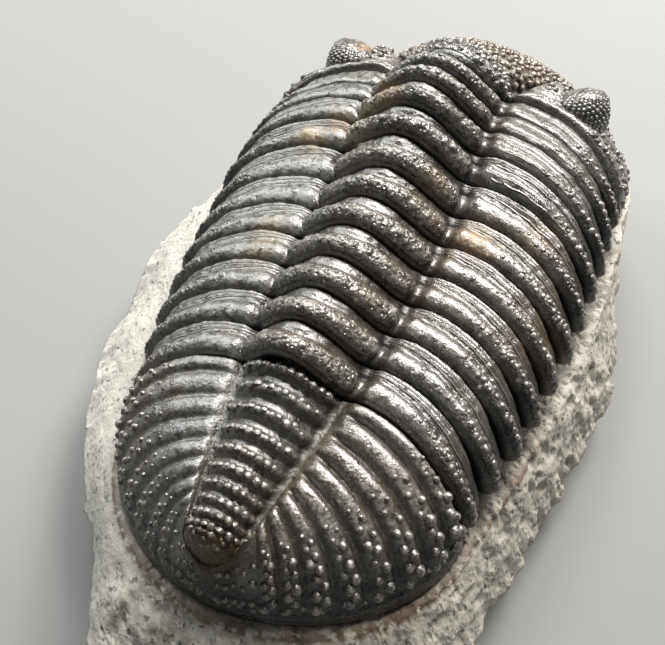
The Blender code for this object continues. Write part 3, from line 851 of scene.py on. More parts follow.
@dataclass
class HeadShield:
    """The head: the ring of the neck, the swollen glabella, and cheeks that bend steeply down."""

    plan: BodyPlan
    rows: int = 206
    ring_columns: int = 118
    side_columns: int = 136
    bend: float = math.radians(38.0)
    bend_length: float = 3.0
    axis_length: float = 28.6
    front: float = 54.6
    front_level: float = -27.0
    outline_power: float = 2.1
    occipital_length: float = 4.7
    glabella_half: float = 16.6
    glabella_widest: float = 20.5
    glabella_power: float = 0.75
    lobe_rise: float = 2.4

    ARCH = ((-1.0, 8.1), (0.0, 7.9), (1.2, 7.0), (2.6, 5.7), (4.7, 4.6), (8.0, 5.2), (12.0, 5.5),
            (16.0, 5.3), (20.5, 4.7), (29.0, 4.0), (30.0, 4.0))
    OCCIPITAL = ((0.0, -1.9), (0.06, -1.2), (0.16, -0.5), (0.30, 0.15), (0.46, 0.45), (0.60, 0.45),
                 (0.74, 0.15), (0.86, -0.35), (0.95, -0.8), (1.0, -1.0))
    BORDER = ((0.0, -1.5), (0.05, -0.6), (0.14, 0.15), (0.30, 0.62), (0.46, 0.70), (0.60, 0.45),
              (0.74, -0.25), (0.86, -0.85), (0.95, -0.85), (1.0, -0.7))

    @property
    def rear(self) -> float:
        """Return where the head ends at its furrows."""
        return self.plan.ring_rear(0)

    def path(self, along: Array) -> tuple[Array, Array, Array]:
        """Return place, level and slope of the furrow line at a distance along the bend.

        Args:
            along: distances from the head's rear.

        Returns:
            Three values for each distance.
        """
        fine = np.linspace(0, self.axis_length, 601)
        slope = self.bend * smooth(fine / self.bend_length)
        step = fine[1] - fine[0]
        run = np.concatenate([[0], np.cumsum(np.cos((slope[1:] + slope[:-1]) / 2))]) * step
        fall = np.concatenate([[0], np.cumsum(np.sin((slope[1:] + slope[:-1]) / 2))]) * step
        level = float(self.plan.furrow(self.rear))
        return (self.rear + np.interp(along, fine, run), level - np.interp(along, fine, fall),
                np.interp(along, fine, slope))

    def half_glabella(self, along: Array) -> Array:
        """Return the half-width of the glabella, widest near the front.

        Args:
            along: distances from the head's rear.

        Returns:
            One half-width for each.
        """
        wide = smooth((along - self.occipital_length) / (self.glabella_widest - self.occipital_length))
        half = mix(self.plan.half_axis(self.rear), self.glabella_half, wide)
        return half * np.sqrt(np.clip(1 - self.closing(along) ** 2, 0, 1))

    def closing(self, along: Array) -> Array:
        """Return 0 up to the widest part of the glabella and 1 at its front."""
        return np.clip((along - self.glabella_widest) / (self.axis_length - self.glabella_widest), 0, 1)

    def outline(self, t: Array) -> tuple[Array, Array, Array]:
        """Return the right half of the outline, from its rear corner at 0 to the front at 1.

        Args:
            t: places along it, 0 to 1.

        Returns:
            x, y and level of each place.
        """
        angle = t * math.pi / 2
        power = 2 / self.outline_power
        x = self.plan.half_body(self.rear) * np.clip(np.cos(angle), 0, 1) ** power
        y = mix(self.rear - self.plan.sweep, self.front, np.sin(angle) ** power)
        return x, y, mix(self.plan.tip(self.rear), self.front_level, 1 - (1 - t) ** 1.5)

    def base(self, along: Array, across: Across) -> Array:
        """Return the smooth head under the relief, rows by columns.

        Args:
            along: distances from the head's rear.
            across: the columns of the shell.

        Returns:
            The grid of points.
        """
        plan, ring, side = self.plan, across.ring, across.side
        t = along / self.axis_length
        half = self.half_glabella(along)
        y, level, slope = self.path(along)
        edge_x, edge_y, edge_z = self.outline(t)
        reach, fall = plan.shoulder(side)
        x = half * ring + across.sign * (edge_x - half) * reach
        line = curve_through(self.ARCH, np.linspace(0, 1, 400))
        arch = np.interp(along, line[:, 0], line[:, 1]) * np.sqrt(1 - self.closing(along) ** 2)
        power = mix(1.0, self.glabella_power, smooth(along / 8))
        high = arch * np.where(across.on_side, 0.0, plan.vault(ring) ** power)
        bow = plan.ring_bow * (1 - smooth(along / 4)) * np.where(across.on_side, 0.0, 1 - ring**6)
        return np.stack([x, y + (edge_y - y) * smooth(side) - bow + high * np.sin(slope),
                         level - (level - edge_z) * fall + high * np.cos(slope)], axis=-1)

    def surface(self) -> tuple[Array, Array, Array, Across]:
        """Return the grid of points, the heights, the distances along the bend, and the columns.

        Returns:
            Four values, the first two rows by columns.
        """
        across = Across.spread(self.ring_columns, self.side_columns, 1.2)
        share = np.linspace(0, 1, self.rows)
        even = np.interp(share, (0, 0.22, 0.80, 1), (0, 6.0, self.glabella_widest + 2, self.axis_length))
        along = even[:, None]
        closing = self.closing(along)
        base = self.base(along, across)
        ring, side, length = across.ring, across.side, self.occipital_length
        tube = curve_through(self.OCCIPITAL, np.linspace(0, 1, 300))
        tube = np.interp(along / length, tube[:, 0], tube[:, 1])
        beyond = along - length
        lobe = -1.25 * bell(beyond, 0.9) - 0.55 * bell(beyond - 3.1, 0.55) * smooth(np.abs(ring) * 1.6)
        on_ring = np.where(beyond <= 0, tube, lobe * smooth((beyond + 0.5) / 0.5))
        edge = curve_through(self.BORDER, np.linspace(0, 1, 300))
        band = mix(2.3, 3.6, smooth(side / 0.6))
        border = np.interp(along / band, edge[:, 0], edge[:, 1], right=0.0)
        border = border + np.where(along < band, 0.0, -0.7 * bell(along - band, 0.8))
        border = border + 0.22 * bell(along - band - 1.0, 0.25) * (1 - smooth((side - 0.45) / 0.1))
        rim = 0.55 * bell(side - 0.90, 0.075) - 0.6 * bell(side - 0.76, 0.05)
        on_side = border * (1 - smooth((side - 0.78) / 0.18)) + rim * smooth((along - 2) / 3)
        height = np.where(across.on_side, on_side, on_ring)
        arc = side * 26.0 - (1 - np.abs(ring)) * self.half_glabella(along)
        height = height - mix(1.15, 0.5, smooth((along - 15) / 5)) * bell(arc, 0.9) * (1 - closing**4)
        height = height + self.lobe_rise * bell(along - 8.4, 3.6) * bell(side - 0.15, 0.10)
        height = height + 0.10 * lumpy(base, 6.0, 31) + 0.06 * lumpy(base, 2.2, 32)
        height = height * (1 - smooth((side - 0.985) / 0.015)) * (1 - closing**10)
        turn = np.stack([1 + 0 * along, smooth(along / 3), 1 + 0 * along], axis=-1)
        points = base + height[..., None] * normals_of(base) * turn
        points[-1, :, 0] = 0.0
        return points, height, along, across

    def build(self, placement: Placement) -> bpy.types.Object:
        """Make the head's closed mesh, with the marks that its finish and its tubercles read.

        Args:
            placement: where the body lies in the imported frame.

        Returns:
            The head's shell.
        """
        points, height, along, across = self.surface()
        shell = Shell()
        side = across.side
        beyond = along - self.occipital_length
        glabella = smooth((beyond - 0.9) / 0.8) * ~across.on_side * (np.abs(across.ring) < 0.95)
        cheek = smooth((side - 0.05) / 0.07) * (side < 0.975) * smooth((along - 4.2) / 1.0)
        collar = (along < 4.2) * (along > 0.7) * np.where(across.on_side, (side > 0.40) * 1.0, 1.6)
        dense = np.clip(0.45 * cheek + 0.45 * collar, 0, 1)
        # height mark for the finish, lowered on the glabella so that painted shade lies between its tubercles
        tint = np.clip((height + 1.6) / 2.5 - 0.34 * glabella, 0, 1)
        numbers = shell.add(points, height=tint, bead_density=dense, pearl_density=glabella,
                            grain=np.clip(0.3 + 0.7 * glabella + 0.5 * cheek + 0.6 * collar, 0, 1),
                            ochre=np.clip(stained(points, OCHRE_STAINS) + 0.22 * glabella, 0, 1),
                            pale=stained(points, PALE_STAINS))
        shell.skin(numbers)
        loop = np.concatenate([numbers[0], numbers[1:, -1], numbers[-2:0:-1, 0]])
        edge = np.concatenate([points[0], points[1:, -1], points[-2:0:-1, 0]])
        TailShield.close(shell, loop, edge, (0.0, 37.0))
        return shell.make("head_shell", placement)


@dataclass
class CompoundEye:
    """One eye: a turret whose steep outer wall is set with lenses, under a smooth curved lid."""

    head: HeadShield
    side: Side
    x: float = 20.5
    along: float = 7.9
    top: float = 3.2
    half_length: float = 5.6
    half_width: float = 4.6
    foot_reach: float = 1.18
    around: int = 108
    lens_files: int = 24
    lenses_in_file: int = 7
    lens_size: float = 0.74

    PROFILE = ((1.34, -0.16), (1.18, -0.04), (1.05, 0.04), (0.965, 0.11), (0.95, 0.20), (0.97, 0.32),
               (0.965, 0.50), (0.92, 0.68), (0.85, 0.81), (0.80, 0.86), (0.785, 0.92), (0.73, 0.985),
               (0.62, 1.02), (0.48, 1.025), (0.30, 1.01), (0.13, 1.0), (0.0, 1.0))

    def axes(self) -> tuple[Array, Array, Array, Array]:
        """Return the origin and the out, forward and up directions of the cheek's bent plane.

        Returns:
            The origin and three unit vectors.
        """
        rear = self.head.rear
        origin = np.array([0.0, rear, float(self.head.plan.furrow(rear))])
        down, up = math.sin(self.head.bend), math.cos(self.head.bend)
        return (origin, np.array([float(self.side.value), 0, 0]), np.array([0, up, -down]),
                np.array([0, down, up]))

    def cheek_level(self, out: Array, forward: Array) -> Array:
        """Return the cheek's level in the bent plane below places around the eye.

        Args:
            out: distances from the middle plane.
            forward: distances forward in the bent plane.

        Returns:
            One level for each place.
        """
        along = np.linspace(0.5, 22, 70)[:, None]
        across = Across.spread(2, 70, 1.2)
        origin, _, ahead, above = self.axes()
        base = self.head.base(along, across)[:, across.sign > 0][:, 2:] - origin
        flat = np.stack([base[..., 0].ravel(), (base @ ahead).ravel()], axis=1)
        level = (base @ above).ravel()
        near = ((np.stack([out, forward], axis=1)[:, None] - flat[None]) ** 2).sum(axis=2)
        best = np.argsort(near, axis=1)[:, :4]
        weight = 1 / (np.take_along_axis(near, best, axis=1) + 1e-6)
        return (level[best] * weight).sum(axis=1) / weight.sum(axis=1)

    def surface(self, steps: Array) -> Array:
        """Return the turret's points, one row for each step up its profile.

        Args:
            steps: places up the profile, 0 at the foot and 1 at the top.

        Returns:
            The points, rows by turns around the eye.
        """
        turn = np.linspace(0, 2 * math.pi, self.around + 1)[:-1]
        out, ahead = np.cos(turn), np.sin(turn)
        foot = self.cheek_level(self.x + self.foot_reach * self.half_width * out,
                                self.along + self.foot_reach * self.half_length * ahead)
        foot = (foot + np.roll(foot, 1) + np.roll(foot, -1)) / 3
        reach, high = curve_through(self.PROFILE, steps).T[:, :, None]
        kidney = 1 - 0.10 * np.clip(-out, 0, 1) ** 3
        across = self.x + reach * kidney * self.half_width * out
        forward = self.along + reach * self.half_length * ahead
        lid = self.top - 0.045 * (across - self.x) ** 2 - 0.32 * np.clip(self.x - across, 0, None)
        lid = lid - 0.055 * (forward - self.along) ** 2
        lid_level = np.maximum(lid, foot + 0.3)
        level = foot + (lid_level - foot) * high
        origin, outward, onward, upward = self.axes()
        return origin + across[..., None] * outward + forward[..., None] * onward + level[..., None] * upward

    def build(self, placement: Placement) -> bpy.types.Object:
        """Make the turret's closed mesh.

        Args:
            placement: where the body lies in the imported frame.

        Returns:
            The eye's shell.
        """
        steps = np.linspace(0, 1, 61)
        points = self.surface(steps)
        wave = 0.07 * lumpy(points, 1.8, 41) + 0.05 * lumpy(points, 0.8, 42)
        points = points + wave[..., None] * np.array([0.3, 0.3, 0.6])
        points[-1] = points[-1].mean(axis=0)
        shell = Shell()
        wall = bell(steps[:, None] - 0.38, 0.17)
        lid = (steps[:, None] > 0.72) * (steps[:, None] < 0.97)
        inner = smooth(-self.side.value * (points[..., 0] - self.side.value * self.x) / 2.0)
        rust = (0.9 if self.side is Side.LEFT else 0.15) * lid * inner
        # the lens band gets a low height mark, so the finish lays painted shade between the lenses
        numbers = shell.add(points, height=0.75 - 0.6 * wall, grain=0.4 + 0.4 * inner, bead_density=0.3 * lid,
                            ochre=rust)
        closed = np.concatenate([numbers, numbers[:, :1]], axis=1)
        shell.skin(closed)
        shell.fan(numbers[0][::-1], points[0].mean(axis=0) - np.array([0, 0, 1.0]), height=0.0)
        return shell.make(f"eye_{self.side.name.lower()}", placement)

    def lenses(self) -> Dots:
        """Return the places of the lenses in slanting files around the outer wall.

        Returns:
            The places, half a lens higher in every other file.
        """
        steps = np.linspace(0.20, 0.64, 2 * self.lenses_in_file)
        points = self.surface(steps)
        normal = normals_of(np.concatenate([points, points[:, :1]], axis=1))[:, :-1]
        centre = points.mean(axis=(0, 1))
        normal = normal * np.where(((points - centre) * normal).sum(axis=-1) < 0, -1.0, 1.0)[..., None]
        rows, columns = [], []
        for file in range(self.lens_files):
            column = (file / (self.lens_files - 1) - 0.5) * 0.66 * self.around
            for lens in range(self.lenses_in_file):
                row = 2 * lens + file % 2
                if row < len(steps):
                    rows.append(row)
                    columns.append(int(round(column)) % self.around)
        rows, columns = np.array(rows), np.array(columns)
        return Dots(points[rows, columns], normal[rows, columns], np.full(len(rows), self.lens_size))


@dataclass
class RockBlock:
    """The limestone: a mound under the fossil, a sloping shelf around it, and broken sides."""

    plan: BodyPlan
    head: HeadShield
    tail: TailShield
    turns: int = 640
    slope_rows: int = 34
    wall_rows: int = 34
    centre: float = -5.0
    shelf: float = 1.2

    BROWN = (Stain((22.6, -46.0, -13.5), 3.2, 1.0), Stain((26.5, -42.0, -13.5), 2.6, 0.8),
             Stain((17.0, -51.0, -13.5), 2.2, 0.6))

    EDGE = ((4, -73, -23), (19, -69, -25), (29, -57, -27), (31.6, -43, -28), (34, -30, -28), (36, -15, -28),
            (38, 1, -28), (34, 18, -28.5), (28, 36, -29), (13, 52, -30), (-6, 55, -30), (-24, 45, -28),
            (-37, 28, -24), (-43, 8, -22), (-45, -4, -22), (-42.5, -15, -22), (-42.5, -24, -22),
            (-35, -41, -22), (-23, -56, -22), (-15, -68, -22))

    def turn_of(self, points: Array) -> Array:
        """Return the angle of each point about the block's centre, from the middle of the tail end."""
        return np.arctan2(points[:, 0], self.centre - points[:, 1]) % (2 * math.pi)

    def around(self, curve: Array, turns: Array) -> Array:
        """Return a closed curve's points at given angles.

        Args:
            curve: points of the curve.
            turns: the angles, in radians.

        Returns:
            One point for each angle.
        """
        at = self.turn_of(curve)
        order = np.argsort(at)
        at, curve = at[order], curve[order]
        period = 2 * math.pi
        return np.stack([np.interp(turns, at, curve[:, axis], period=period) for axis in range(3)], axis=1)

    def margin(self, out: float) -> Array:
        """Return the closed line around the fossil, a distance outside its margin.

        Args:
            out: the distance, below 0 for a line inside.

        Returns:
            The points of the line.
        """
        plan, t = self.plan, np.linspace(0, 1, 120)
        head = np.stack(self.head.outline(t), axis=1)
        tail = np.stack(self.tail.outline(t * (self.tail.rings + 1)), axis=1)
        y = np.linspace(plan.ring_rear(0), plan.last_ring_rear, 90)[1:-1]
        trunk = np.stack([plan.half_body(y), y - plan.sweep, plan.tip(y)], axis=1)
        right = np.concatenate([head[::-1], trunk, tail])
        line = np.concatenate([right, right[-2:0:-1] * [-1, 1, 1]])
        turns = self.turn_of(line)
        away = np.stack([np.sin(turns), -np.cos(turns), 0 * turns], axis=1)
        return line + out * away

    def edge(self, turns: Array, jag: float = 1.0) -> Array:
        """Return the broken edge of the block at each angle, more or less jagged.

        Args:
            turns: the angles, in radians.
            jag: 1 for the break's full teeth, 0 for none.

        Returns:
            One point for each angle.
        """
        corners = np.array(self.EDGE, dtype=float)
        closed = np.concatenate([corners[-2:], corners, corners[:2]])
        steps = np.linspace(0, 1, (len(closed) - 1) * 12 + 1)
        curve = curve_through([tuple(c) for c in closed], steps)[24:-24]
        jagged = 0.6 * np.sin(turns * 23) + 0.5 * np.sin(turns * 37 + 1) + 0.3 * np.sin(turns * 61 + 2)
        jagged = jagged + 0.25 * np.sin(turns * 97) + 0.2 * np.sin(turns * 143 + 1)
        return self.around(curve, turns) + jag * jagged[:, None] * [0.5, 0.5, 0.9]

    def mound(self, shell: Shell) -> None:
        """Add the mound just under the fossil, closed below.

        Args:
            shell: the block's mesh in the making.
        """
        across = Across.spread(16, 20, 1.2)
        head = self.head.base(np.linspace(self.head.glabella_widest - 5, 0, 24)[:, None], across)
        plan = self.plan
        y = np.linspace(plan.ring_rear(0), plan.last_ring_rear, 40)[1:-1, None]
        trunk = ThoracicSegment(plan, 6).base(y + 0 * across.side, across)
        rough = TailShield(plan, rows_per_ring=2, closing_rows=4, ring_columns=16, side_columns=20)
        grid = np.concatenate([head, trunk, rough.surface()[0][1:-6]])
        grid = grid - 3.3 * normals_of(grid)
        numbers = shell.add(grid)
        shell.skin(numbers)
        loop = np.concatenate([numbers[0], numbers[1:, -1], numbers[-1, -2::-1], numbers[-2:0:-1, 0]])
        shell.fan(loop, [0, self.centre, -26.0])

    def build(self, placement: Placement) -> bpy.types.Object:
        """Make the block's closed mesh, with the mark of how roughly each part is broken.

        Args:
            placement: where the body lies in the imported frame.

        Returns:
            The block, still smooth.
        """
        turns = np.linspace(0, 2 * math.pi, self.turns + 1)[:-1]
        away = np.stack([np.sin(turns), -np.cos(turns), 0 * turns], axis=1)
        low = np.array([0, 0, 1.0])
        near = self.around(self.margin(self.shelf), turns) - 0.5 * low
        inner = self.around(self.margin(-1.5), turns)
        edge = self.edge(turns, 0.0)
        jag = self.edge(turns) - edge
        base_level = self.plan.base_level
        foot = edge * [0.92, 0.96, 0] + [0, 0, base_level] + 0.8 * np.sin(turns * 7)[:, None] * away
        loops = [inner - 5.5 * low - 4.0 * away, inner - 2.0 * low, mix(inner, near, 0.6) - 0.5 * low, near]
        for s in np.linspace(0, 1, self.slope_rows + 1)[1:]:
            line = mix(near, edge, s) + jag * s**3
            calm = mix(1.0, 0.35, smooth((-line[:, 0] - 8) / 14))
            wave = (0.7 * lumpy(line, 9.0, 51) + 0.35 * lumpy(line, 4.0, 52)) * math.sin(math.pi * s) * calm
            loops.append(line + (0.8 * math.sin(math.pi * s) ** 1.5 + wave)[:, None] * low)
        for s in np.linspace(0, 1, self.wall_rows + 1)[1:]:
            swell = math.sin(math.pi * s) ** 0.8
            line = mix(edge, foot, s) + jag * (1 - s) ** 5
            bulge = (1.0 * lumpy(line, 13.0, 53) + 0.7 * lumpy(line * [1, 1, 2.2], 7.0, 54) - 0.3) * swell
            loops.append(line + bulge[:, None] * away * (s < 1))
        points = np.array(loops)
        rim = bell(np.arange(len(loops))[:, None] - 3.5, 1.4)
        rough = np.zeros(points.shape[:2])
        rough[2:-1] = np.clip((len(loops) - 1 - np.arange(2, len(loops) - 1)) / 7, 0, 1)[:, None]
        shell = Shell()
        brown = rim * smooth((np.cos(turns) - 0.1) / 0.4) + stained(points, self.BROWN)
        numbers = shell.add(points, rough=rough, left=smooth((-points[..., 0] - 8) / 14),
                            brown=np.clip(brown, 0, 1))
        shell.skin(np.concatenate([numbers, numbers[:, :1]], axis=1))
        shell.fan(numbers[0][::-1], [0, self.centre, -30.0])
        shell.fan(numbers[-1], [0, self.centre, base_level])
        self.mound(shell)
        return shell.make("limestone_block", placement)


Socket = bpy.types.NodeSocket


@dataclass
class Graph:
    """A node tree, with short ways to add nodes and to wire them."""

    tree: bpy.types.NodeTree

    def node(self, kind: str, wires: dict | None = None, **settings: object) -> bpy.types.Node:
        """Add a node.

        Args:
            kind: the node's type.
            wires: for inputs by name or number, a socket to link or a value to set.
            settings: the node's own properties.

        Returns:
            The node.
        """
        made = self.tree.nodes.new(kind)
        for name, value in settings.items():
            setattr(made, name, value)
        for name, value in (wires or {}).items():
            if isinstance(value, Socket):
                self.tree.links.new(value, made.inputs[name])
            else:
                made.inputs[name].default_value = value
        return made

    def math(self, operation: str, a: Socket | float, b: Socket | float = 0.0,
             clamp: bool = False) -> Socket:
        """Add a sum of two values and return its result."""
        return self.node("ShaderNodeMath", {0: a, 1: b}, operation=operation, use_clamp=clamp).outputs[0]

    def ramp(self, value: Socket, low: float, high: float,
             to_low: float = 0.0, to_high: float = 1.0) -> Socket:
        """Return a value carried smoothly from one range to another, and held outside it."""
        wires = {0: value, 1: low, 2: high, 3: to_low, 4: to_high}
        return self.node("ShaderNodeMapRange", wires, interpolation_type="SMOOTHSTEP").outputs[0]

    def blend(self, share: Socket | float, a: Socket | tuple, b: Socket | tuple) -> Socket:
        """Return colour a at share 0 and colour b at share 1."""
        return self.node("ShaderNodeMix", {0: share, 6: a, 7: b}, data_type="RGBA").outputs[2]

    def attribute(self, name: str) -> Socket:
        """Return a mark held by the mesh."""
        return self.node("ShaderNodeAttribute", attribute_name=name).outputs["Fac"]

    def noise(self, at: Socket, scale: float, detail: float = 4.0, rough: float = 0.55) -> Socket:
        """Return cloudy noise about 0.5; the scale is per unit of the coordinates."""
        wires = {"Vector": at, "Scale": scale, "Detail": detail, "Roughness": rough}
        return self.node("ShaderNodeTexNoise", wires).outputs["Fac"]

    def cells(self, at: Socket, scale: float, feature: str = "F1") -> Socket:
        """Return the distance to the nearest of scattered points."""
        wires = {"Vector": at, "Scale": scale}
        return self.node("ShaderNodeTexVoronoi", wires, feature=feature).outputs["Distance"]

    def stretched(self, at: Socket, scale: tuple, turn: tuple = (0.0, 0.0, 0.0)) -> Socket:
        """Return coordinates that are turned and then scaled along each axis.

        Args:
            at: the coordinates.
            scale: factor along each axis.
            turn: angle about each axis, in radians.

        Returns:
            The new coordinates.
        """
        turned = self.node("ShaderNodeVectorRotate", {"Vector": at, "Rotation": turn},
                           rotation_type="EULER_XYZ")
        wires = {0: turned.outputs[0], 1: scale}
        return self.node("ShaderNodeVectorMath", wires, operation="MULTIPLY").outputs[0]


def new_tree(kind: str, name: str, inputs: Sequence[tuple], outputs: Sequence[tuple]) -> Graph:
    """Make a node group.

    Args:
        kind: the tree's type.
        name: the group's name.
        inputs: (name, socket type) or (name, socket type, default) for each input.
        outputs: (name, socket type) for each output.

    Returns:
        The group, still empty but for its input and output nodes.
    """
    tree = bpy.data.node_groups.new(name, kind)
    for label, socket, *default in inputs:
        made = tree.interface.new_socket(label, in_out="INPUT", socket_type=socket)
        if default:
            made.default_value = default[0]
    for label, socket in outputs:
        tree.interface.new_socket(label, in_out="OUTPUT", socket_type=socket)
    return Graph(tree)


class GrowthTrees:
    """Geometry Nodes trees that grow tubercles and lenses, and that break the rock's surface."""

    DENSEST = 4.0e6  # tries per square metre, more than any spacing lets through

    def __init__(self) -> None:
        """Build the three trees."""
        self.scatter = self.scatter_tree()
        self.rows = self.row_tree()
        self.rock = self.rock_tree()

    @staticmethod
    def finish(graph: Graph, geometry: Socket, material: Socket) -> bpy.types.NodeTree:
        """Realize, set the material and put out the geometry.

        Args:
            graph: the tree in the making.
            geometry: what has grown.
            material: the input that holds the finish.

        Returns:
            The finished tree.
        """
        real = graph.node("GeometryNodeRealizeInstances", {0: geometry})
        dressed = graph.node("GeometryNodeSetMaterial", {"Geometry": real.outputs[0], "Material": material})
        graph.node("NodeGroupOutput", {0: dressed.outputs[0]})
        return graph.tree

    def scatter_tree(self) -> bpy.types.NodeTree:
        """Grow beads all over a surface, at least a spacing apart, as thickly as a mark says.

        Returns:
            The tree.
        """
        inputs = [("Geometry", "NodeSocketGeometry"), ("Bead", "NodeSocketObject"),
                  ("Spacing", "NodeSocketFloat", 0.001), ("Smallest", "NodeSocketFloat", 0.7),
                  ("Largest", "NodeSocketFloat", 1.1), ("Seed", "NodeSocketInt", 1),
                  ("Density Mark", "NodeSocketString", "bead_density"), ("Material", "NodeSocketMaterial")]
        graph = new_tree("GeometryNodeTree", "Scattered beads", inputs, [("Geometry", "NodeSocketGeometry")])
        given = graph.node("NodeGroupInput").outputs
        mark = graph.node("GeometryNodeInputNamedAttribute", {"Name": given["Density Mark"]},
                          data_type="FLOAT")
        points = graph.node("GeometryNodeDistributePointsOnFaces",
                            {"Mesh": given["Geometry"], "Distance Min": given["Spacing"],
                             "Density Max": self.DENSEST, "Density Factor": mark.outputs[0],
                             "Seed": given["Seed"]},
                            distribute_method="POISSON")
        size = graph.node("FunctionNodeRandomValue",
                          {2: given["Smallest"], 3: given["Largest"], "Seed": given["Seed"]},
                          data_type="FLOAT")
        bead = graph.node("GeometryNodeObjectInfo", {"Object": given["Bead"]})
        grown = graph.node("GeometryNodeInstanceOnPoints",
                           {"Points": points.outputs["Points"], "Instance": bead.outputs["Geometry"],
                            "Rotation": points.outputs["Rotation"], "Scale": size.outputs[1]})
        return self.finish(graph, grown.outputs[0], given["Material"])

    def row_tree(self) -> bpy.types.NodeTree:
        """Grow a bead on each given point, standing the way that the point faces.

        Returns:
            The tree.
        """
        inputs = [("Geometry", "NodeSocketGeometry"), ("Bead", "NodeSocketObject"),
                  ("Material", "NodeSocketMaterial")]
        graph = new_tree("GeometryNodeTree", "Beads in rows", inputs, [("Geometry", "NodeSocketGeometry")])
        given = graph.node("NodeGroupInput").outputs
        facing = graph.node("GeometryNodeInputNamedAttribute", {"Name": "facing"},
                            data_type="FLOAT_VECTOR")
        size = graph.node("GeometryNodeInputNamedAttribute", {"Name": "bead_size"}, data_type="FLOAT")
        turned = graph.node("FunctionNodeAlignRotationToVector", {"Vector": facing.outputs[0]}, axis="Z")
        bead = graph.node("GeometryNodeObjectInfo", {"Object": given["Bead"]})
        grown = graph.node("GeometryNodeInstanceOnPoints",
                           {"Points": given["Geometry"], "Instance": bead.outputs["Geometry"],
                            "Rotation": turned.outputs[0], "Scale": size.outputs[0]})
        return self.finish(graph, grown.outputs[0], given["Material"])

    def rock_tree(self) -> bpy.types.NodeTree:
        """Break a smooth block: broad chips, a fine grain, and strokes of the chisel.

        Returns:
            The tree.
        """
        inputs = [("Geometry", "NodeSocketGeometry"), ("Chip Depth", "NodeSocketFloat", 0.8),
                  ("Grain Depth", "NodeSocketFloat", 0.3), ("Chisel Depth", "NodeSocketFloat", 0.35),
                  ("Material", "NodeSocketMaterial")]
        graph = new_tree("GeometryNodeTree", "Broken rock", inputs, [("Geometry", "NodeSocketGeometry")])
        given = graph.node("NodeGroupInput").outputs
        place = graph.node("GeometryNodeInputPosition").outputs[0]
        at = graph.node("ShaderNodeVectorMath", {0: place, "Scale": METRE}, operation="SCALE").outputs[0]
        mark, left = (graph.node("GeometryNodeInputNamedAttribute", {"Name": name},
                                 data_type="FLOAT").outputs[0] for name in ("rough", "left"))
        bent = graph.node("ShaderNodeVectorMath", {0: at, 1: self.swirl(graph, at)},
                          operation="ADD").outputs[0]
        chips = graph.math("SUBTRACT", graph.cells(bent, 0.24), 0.5)
        chips = graph.math("ADD", chips, graph.math("MULTIPLY", graph.cells(bent, 0.55), 0.45))
        chips = graph.math("MULTIPLY", chips, given["Chip Depth"])
        grain = graph.math("SUBTRACT", graph.noise(at, 0.9, 6.0, 0.62), 0.5)
        grain = graph.math("MULTIPLY", grain, given["Grain Depth"])
        strokes = graph.cells(graph.stretched(bent, (0.62, 0.20, 0.34), (0.2, 0.1, -0.55)), 1.0)
        strokes = graph.math("MULTIPLY", graph.ramp(strokes, 0.10, 0.55, -1.0, 0.0), given["Chisel Depth"])
        calm = graph.ramp(left, 0.0, 1.0, 1.0, 0.12)
        height = graph.math("MULTIPLY", graph.math("ADD", chips, strokes), calm)
        height = graph.math("MULTIPLY", graph.math("ADD", height, grain), mark)
        height = graph.math("MULTIPLY", height, MM)
        normal = graph.node("GeometryNodeInputNormal").outputs[0]
        offset = graph.node("ShaderNodeVectorMath", {0: normal, "Scale": height},
                            operation="SCALE").outputs[0]
        moved = graph.node("GeometryNodeSetPosition", {"Geometry": given["Geometry"], "Offset": offset})
        return self.finish(graph, moved.outputs[0], given["Material"])

    @staticmethod
    def swirl(graph: Graph, at: Socket) -> Socket:
        """Return a small shift that bends the straight edges of the chips.

        Args:
            graph: the tree in the making.
            at: coordinates in millimetres.

        Returns:
            The shift in millimetres.
        """
        wires = {"Vector": at, "Scale": 0.18, "Detail": 3.0}
        colour = graph.node("ShaderNodeTexNoise", wires).outputs["Color"]
        return graph.node("ShaderNodeVectorMath", {0: colour, "Scale": 5.0}, operation="SCALE").outputs[0]


def grown(name: str, source: bpy.types.Object, tree: bpy.types.NodeTree,
          **inputs: object) -> bpy.types.Object:
    """Run a tree on a source and keep what it grows as a plain mesh.

    Args:
        name: name of the new piece.
        source: object whose mesh the tree starts from; it is taken away if it has no faces.
        tree: the Geometry Nodes tree.
        inputs: values of the tree's inputs, by name with spaces as underscores.

    Returns:
        The new object.
    """
    carrier = bpy.data.objects.new(name + "_growing", source.data)
    modifier = carrier.modifiers.new("growth", "NODES")
    modifier.node_group = tree
    for item in tree.interface.items_tree:
        key = item.name.replace(" ", "_")
        if item.in_out == "INPUT" and key in inputs:
            modifier[item.identifier] = inputs[key]
    bpy.context.scene.collection.objects.link(carrier)
    now = bpy.context.evaluated_depsgraph_get()
    mesh = bpy.data.meshes.new_from_object(carrier.evaluated_get(now), preserve_all_data_layers=True,
                                           depsgraph=now)
    bpy.data.objects.remove(carrier, do_unlink=True)
    if not source.data.polygons:
        bpy.data.objects.remove(source, do_unlink=True)
    mesh.name = name
    mesh.shade_smooth()
    made = bpy.data.objects.new(name, mesh)
    bpy.context.scene.collection.objects.link(made)
    return made


